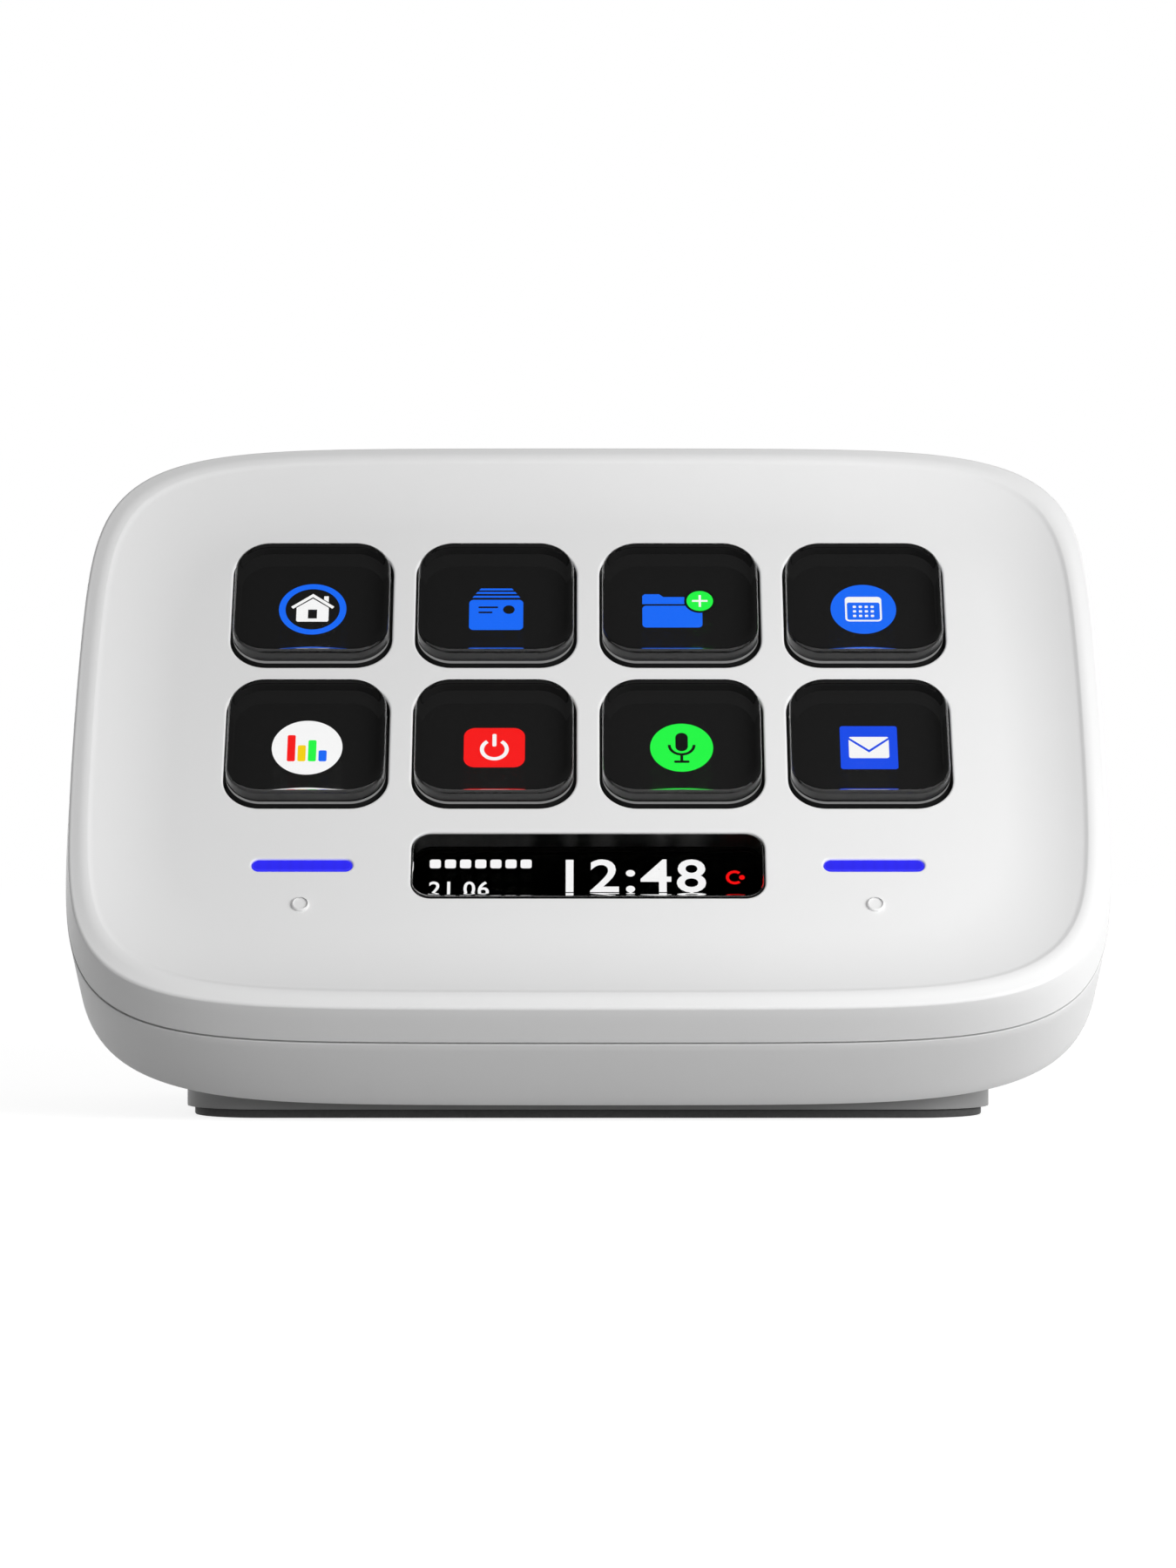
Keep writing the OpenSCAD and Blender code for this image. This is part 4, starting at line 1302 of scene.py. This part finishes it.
def key_picture(index, glow):
    """Empty picture under a key, with its black sheet."""
    keys, looks = settings("keys"), settings("picture")
    block = key_block(f"key_cap_{index}")
    level = block.high - keys.block - keys.air - 4 * looks.layer
    inset = keys.foot + 2 * HAIR
    sheet = Skin()
    sheet.solid([block.ring(-inset, level - looks.layer), block.ring(-inset, level)])
    mesh = lay_on_face(sheet.mesh(f"key_sheet_{index}", smooth=False))
    let_light_by(add_piece(mesh, glow["dark"], f"key_{index}"))
    place = (block.centre.x, block.centre.y + looks.lift)
    return Picture(f"picture_{index}", f"key_{index}", place, level, glow)


def draw_home(icon):
    icon.add("blue", disc(3.6), [disc(2.9)])
    icon.add("white", [(-2.3, 0.36), (0, 2.2), (2.3, 0.36), (2.1, 0.08), (0, 1.74), (-2.1, 0.08)])
    walls = [(-1.72, -1.6), (-1.6, -1.76), (1.6, -1.76), (1.72, -1.6), (1.72, 0.2), (0, 1.52), (-1.72, 0.2)]
    icon.add("white", walls, [[(-0.48, -1.33), (0.48, -1.33), (0.48, -0.04), (-0.48, -0.04)]])
    icon.add("white", [(1.18, 1.4), (1.18, 1.85), (1.68, 1.85), (1.68, 1.0)])


def draw_cards(icon):
    lines = [tile(2.1, 0.26, 0.1, -0.85, 0.28), tile(1.5, 0.26, 0.1, -1.15, -0.45), disc(0.62, 1.35, -0.05)]
    icon.add("blue", tile(5.77, 4.3, 0.5, 0, -0.8), lines)
    for half, y in ((2.35, 1.8), (2, 2.35), (1.65, 2.85)):
        icon.add("blue", bar(half, y, 0.2))


def draw_folder(icon):
    x0, y0 = 2.15, 1.15
    icon.add("blue", tile(6.4, 3.1, 0.45, -0.8, -1.05))
    tab = [(-4, 0.75), (-4, 1.9), (-3.75, 2.15), (-2.2, 2.15), (-1.75, 1.75), (0.5, 1.75), (0.5, 0.75)]
    icon.add("blue", tab)
    icon.add("black", disc(1.68, x0, y0), deck=1)
    plus = [(-0.85, -0.13), (-0.13, -0.13), (-0.13, -0.85), (0.13, -0.85), (0.13, -0.13), (0.85, -0.13)]
    plus += [(-x, -y) for x, y in plus]
    icon.add("green", disc(1.42, x0, y0), [[(x + x0, y + y0) for x, y in plus]], deck=2)
    icon.add("white", [(x * 0.98 + x0, y * 0.98 + y0) for x, y in plus], deck=2)


def draw_calendar(icon):
    icon.add("blue", disc(3.5))
    icon.add("white", tile(3.9, 3.5, 0.45), [tile(3.5, 2.5, 0.25, 0, -0.3)], deck=1)
    days = spread(thin_tile("one_day", 0.34, 0.3, 0.08), "days", 4, 3, 1.9 * MM, 1.3 * MM, icon.glow["white"])
    icon.add_mesh("days", days, "white", 0, -0.32, deck=1)


def draw_chart(icon):
    icon.add("white", disc(3.7))
    bars = (("red", -1.65, 3.6), ("yellow", -0.55, 2.2), ("green", 0.55, 2.9), ("blue", 1.65, 1.5))
    for tone, x, high in bars:
        icon.add(tone, tile(0.85, high, 0.2, x, high / 2 - 1.9), deck=1)


def draw_power(icon):
    icon.add("red", tile(6.4, 5.4, 1.2))
    icon.add("white", arc_band(1.3, 0.42, 125, 415, 0, -0.25), deck=1)
    icon.add("white", tile(0.42, 1.7, 0.15, 0, 1), deck=1)


def draw_microphone(icon):
    icon.add("green", disc(3.3))
    for shape in (
        tile(1.3, 2.5, 0.64, 0, 0.75),
        arc_band(1.3, 0.3, 180, 360, 0, 0.35),
        tile(0.3, 1.0, 0.1, 0, -1.45),
        tile(1.6, 0.3, 0.12, 0, -1.95),
    ):
        icon.add("black", shape, deck=1)


def draw_mail(icon):
    icon.add("deep_blue", tile(6, 5.9, 0.3))
    icon.add("white", tile(4.2, 2.9, 0.25), deck=1)
    fold = [(-2.1, 1.35), (0, -0.35), (2.1, 1.35), (2.1, 1.05), (0, -0.7), (-2.1, 1.05)]
    icon.add("deep_blue", fold, deck=2)


ICONS = (
    draw_home,
    draw_cards,
    draw_folder,
    draw_calendar,
    draw_chart,
    draw_power,
    draw_microphone,
    draw_mail,
)


def draw_strip(strip):
    """Weekday squares, date, time and a small round sign."""
    time = numerals("12:48", 4.4 * MM, "time")
    time.transform(Matrix.Diagonal((1.08, 1, 1, 1)))
    strip.add_mesh("time", time, "white", -2.3, -3.6)
    strip.add_mesh("date", numerals("21.06.", 1.9 * MM, "date"), "white", -16.4, -4.05)
    day = thin_tile("one_weekday", 1.15, 1.15, 0.25)
    week = spread(day, "weekdays", 7, 1, 9.4 * MM, 0, strip.glow["white"])
    strip.add_mesh("weekdays", week, "white", -11.1, 0.2)
    strip.add("red", arc_band(0.75, 0.32, 50, 310, 15.15, -1.6))
    strip.add("red", disc(0.3, 15.9, -1.6))


class KEYPAD_OT_picture(bpy.types.Operator):
    """Draw the lit pictures under the keys and the info lens"""

    bl_idname = "keypad.picture"
    bl_label = "Display pictures"

    def execute(self, context):
        looks = settings("picture")
        tones = ("blue", "deep_blue", "red", "green", "yellow", "white")
        glow = {tone: lit_finish(f"picture_{tone}", getattr(looks, tone), looks.glow) for tone in tones}
        glow["black"] = lit_finish("picture_black", looks.black, 0)
        # The sheet round each key's picture is black with a faint painted glow.
        glow["dark"] = dark_finish("picture_dark", looks.sheet)
        for index, draw in enumerate(ICONS, 1):
            icon = key_picture(index, glow)
            draw(icon)
            icon.finish()
        middle = face_centre("info_lens")
        strip = Picture("picture_strip", "body", (middle.x, middle.y + looks.info_lift), LCD_TOP, glow)
        draw_strip(strip)
        strip.finish()
        return {"FINISHED"}


# ------------------------------------------------------------------ inner parts


class KEYPAD_OT_inner_parts(bpy.types.Operator):
    """Finish every CAD node that no new piece replaces"""

    bl_idname = "keypad.inner_parts"
    bl_label = "Inner parts"

    def execute(self, context):
        for name, node in frame["nodes"].items():
            if not node.hide_render:
                node.data.materials.clear()
                node.data.materials.append(opaque(slot_of(name)))
        return {"FINISHED"}


# ------------------------------------------------------------------ studio


def background_rays(tree):
    """Adds a mask of the rays that show the background: camera, glossy and transmission."""
    rays = add_node(tree, "ShaderNodeLightPath")
    first = add_node(tree, "ShaderNodeMath", operation="MAXIMUM")
    second = add_node(tree, "ShaderNodeMath", operation="MAXIMUM")
    wire(
        tree,
        (rays, "Is Camera Ray", first, 0),
        (rays, "Is Glossy Ray", first, 1),
        (first, 0, second, 0),
        (rays, "Is Transmission Ray", second, 1),
    )
    return second


def make_world(studio):
    """White backdrop behind the object below a dark ceiling, and an even sky for matt surfaces."""
    world = bpy.data.worlds.new("studio")
    bpy.context.scene.world = world
    world.use_nodes = True
    tree = world.node_tree
    tree.nodes.clear()
    place = add_node(tree, "ShaderNodeTexCoord")
    split = add_node(tree, "ShaderNodeSeparateXYZ")
    backdrop = add_node(tree, "ShaderNodeMath", operation="MULTIPLY")
    # Along each axis of the view's direction, the backdrop is full at the first value and gone at the second.
    for index, (axis, full, gone) in enumerate((("Y", 0.3, -0.1), ("Z", 0.12, 0.34))):
        fade = add_node(tree, "ShaderNodeMapRange", {"From Min": gone, "From Max": full})
        fade.interpolation_type = "SMOOTHSTEP"
        wire(tree, (split, axis, fade, "Value"), (fade, "Result", backdrop, index))
    rays = add_node(tree, "ShaderNodeLightPath")
    level = add_node(tree, "ShaderNodeMath", operation="MAXIMUM")
    shown = add_node(tree, "ShaderNodeBackground")
    ambient = add_node(tree, "ShaderNodeBackground", {"Color": (1, 1, 1, 1), "Strength": studio.ambient})
    mix = add_node(tree, "ShaderNodeMixShader")
    output = add_node(tree, "ShaderNodeOutputWorld")
    wire(
        tree,
        (place, "Generated", split, "Vector"),
        (rays, "Is Camera Ray", level, 0),
        (backdrop, 0, level, 1),
        (level, 0, shown, "Color"),
        (background_rays(tree), 0, mix, 0),
        (ambient, 0, mix, 1),
        (shown, 0, mix, 2),
        (mix, 0, output, "Surface"),
    )


def make_floor(studio):
    """Round white floor that keeps the object's shadow and lights the object as pale paper does."""
    mesh = bpy.data.meshes.new("studio_floor")
    work = bmesh.new()
    bmesh.ops.create_circle(work, cap_ends=True, segments=96, radius=0.8)
    work.to_mesh(mesh)
    work.free()
    material = bpy.data.materials.new("studio_floor")
    material.use_nodes = True
    tree = material.node_tree
    tree.nodes.clear()
    paper = add_node(tree, "ShaderNodeBsdfDiffuse", {"Color": (*grey(studio.floor_tone), 1)})
    glow = add_node(tree, "ShaderNodeEmission", {"Strength": studio.floor_glow})
    black = add_node(tree, "ShaderNodeEmission", {"Strength": 0})
    pick = add_node(tree, "ShaderNodeMixShader")
    both = add_node(tree, "ShaderNodeAddShader")
    output = add_node(tree, "ShaderNodeOutputMaterial")
    wire(
        tree,
        (background_rays(tree), 0, pick, 0),
        (black, 0, pick, 1),
        (glow, 0, pick, 2),
        (paper, 0, both, 0),
        (pick, 0, both, 1),
        (both, 0, output, "Surface"),
    )
    mesh.materials.append(material)
    add_object(mesh)


def turn_towards(holder, direction):
    """Turns a lamp or camera to look along a direction."""
    holder.rotation_euler = direction.to_track_quat("-Z", "Y").to_euler()


def add_softbox(name, place, aim, width, height, power, seen=False):
    """Adds an area light that lights matt surfaces, or one that only shows in shiny ones."""
    lamp = bpy.data.lights.new(name, "AREA")
    lamp.shape = "RECTANGLE"
    lamp.size = width
    lamp.size_y = height
    lamp.energy = power
    box = add_object(lamp)
    box.location = place
    turn_towards(box, Vector(aim) - Vector(place))
    if seen:
        box.visible_diffuse = False
    else:
        box.visible_glossy = box.visible_transmission = False


def make_camera(studio):
    aim = FACE @ Vector((0, studio.aim, level_of_face(0)))
    look = Vector((0, math.cos(studio.dip), -math.sin(studio.dip)))
    camera = bpy.data.cameras.new("studio_camera")
    camera.lens = studio.lens
    camera.sensor_width = 36
    camera.clip_start = 0.01
    holder = add_object(camera)
    holder.location = aim - look * studio.distance
    turn_towards(holder, look)
    bpy.context.scene.camera = holder


class KEYPAD_OT_studio(bpy.types.Operator):
    """Set up the floor, the lights and the camera"""

    bl_idname = "keypad.studio"
    bl_label = "Studio"

    def execute(self, context):
        studio = settings("studio")
        context.scene.view_settings.view_transform = "Standard"
        make_world(studio)
        make_floor(studio)
        middle = FACE @ Vector((0, 0, level_of_face(0)))
        add_softbox("key_light", (0.215, -0.245, 0.1), middle, 0.22, 0.16, studio.key_power)
        for side in (-1, 1):
            place = (0.34 * side, 0.46, 0.12)
            add_softbox(f"edge_light_{side}", place, middle, 0.26, 0.14, studio.edge_power, seen=True)
        make_camera(studio)
        return {"FINISHED"}


# ------------------------------------------------------------------ add-on

OPERATORS = (
    KEYPAD_OT_studio,
    KEYPAD_OT_front_cover,
    KEYPAD_OT_linings,
    KEYPAD_OT_rear_shell,
    KEYPAD_OT_stand,
    KEYPAD_OT_screws,
    KEYPAD_OT_keys,
    KEYPAD_OT_key_mat,
    KEYPAD_OT_info_strip,
    KEYPAD_OT_picture,
    KEYPAD_OT_inner_parts,
)


class KEYPAD_PT_looks(bpy.types.Panel):
    """Buttons for each piece of the keypad"""

    bl_label = "Display keypad"
    bl_idname = "KEYPAD_PT_looks"
    bl_space_type = "VIEW_3D"
    bl_region_type = "UI"
    bl_category = "Keypad"

    def draw(self, context):
        for operator in OPERATORS:
            self.layout.operator(operator.bl_idname)


def register():
    for name, group in SETTINGS.items():
        bpy.utils.register_class(group)
        setattr(bpy.types.Scene, name, bpy.props.PointerProperty(type=group))
    for item in (*OPERATORS, KEYPAD_PT_looks):
        bpy.utils.register_class(item)


def unregister():
    for item in (KEYPAD_PT_looks, *reversed(OPERATORS)):
        bpy.utils.unregister_class(item)
    for name, group in SETTINGS.items():
        delattr(bpy.types.Scene, name)
        bpy.utils.unregister_class(group)


def corners(box):
    return [[float(c) for c in corner] for corner in box]


def main():
    register()
    for operator in OPERATORS:
        category, name = operator.bl_idname.split(".")
        getattr(getattr(bpy.ops, category), name)()
    bpy.context.view_layer.update()


if __name__ == "__main__":
    main()
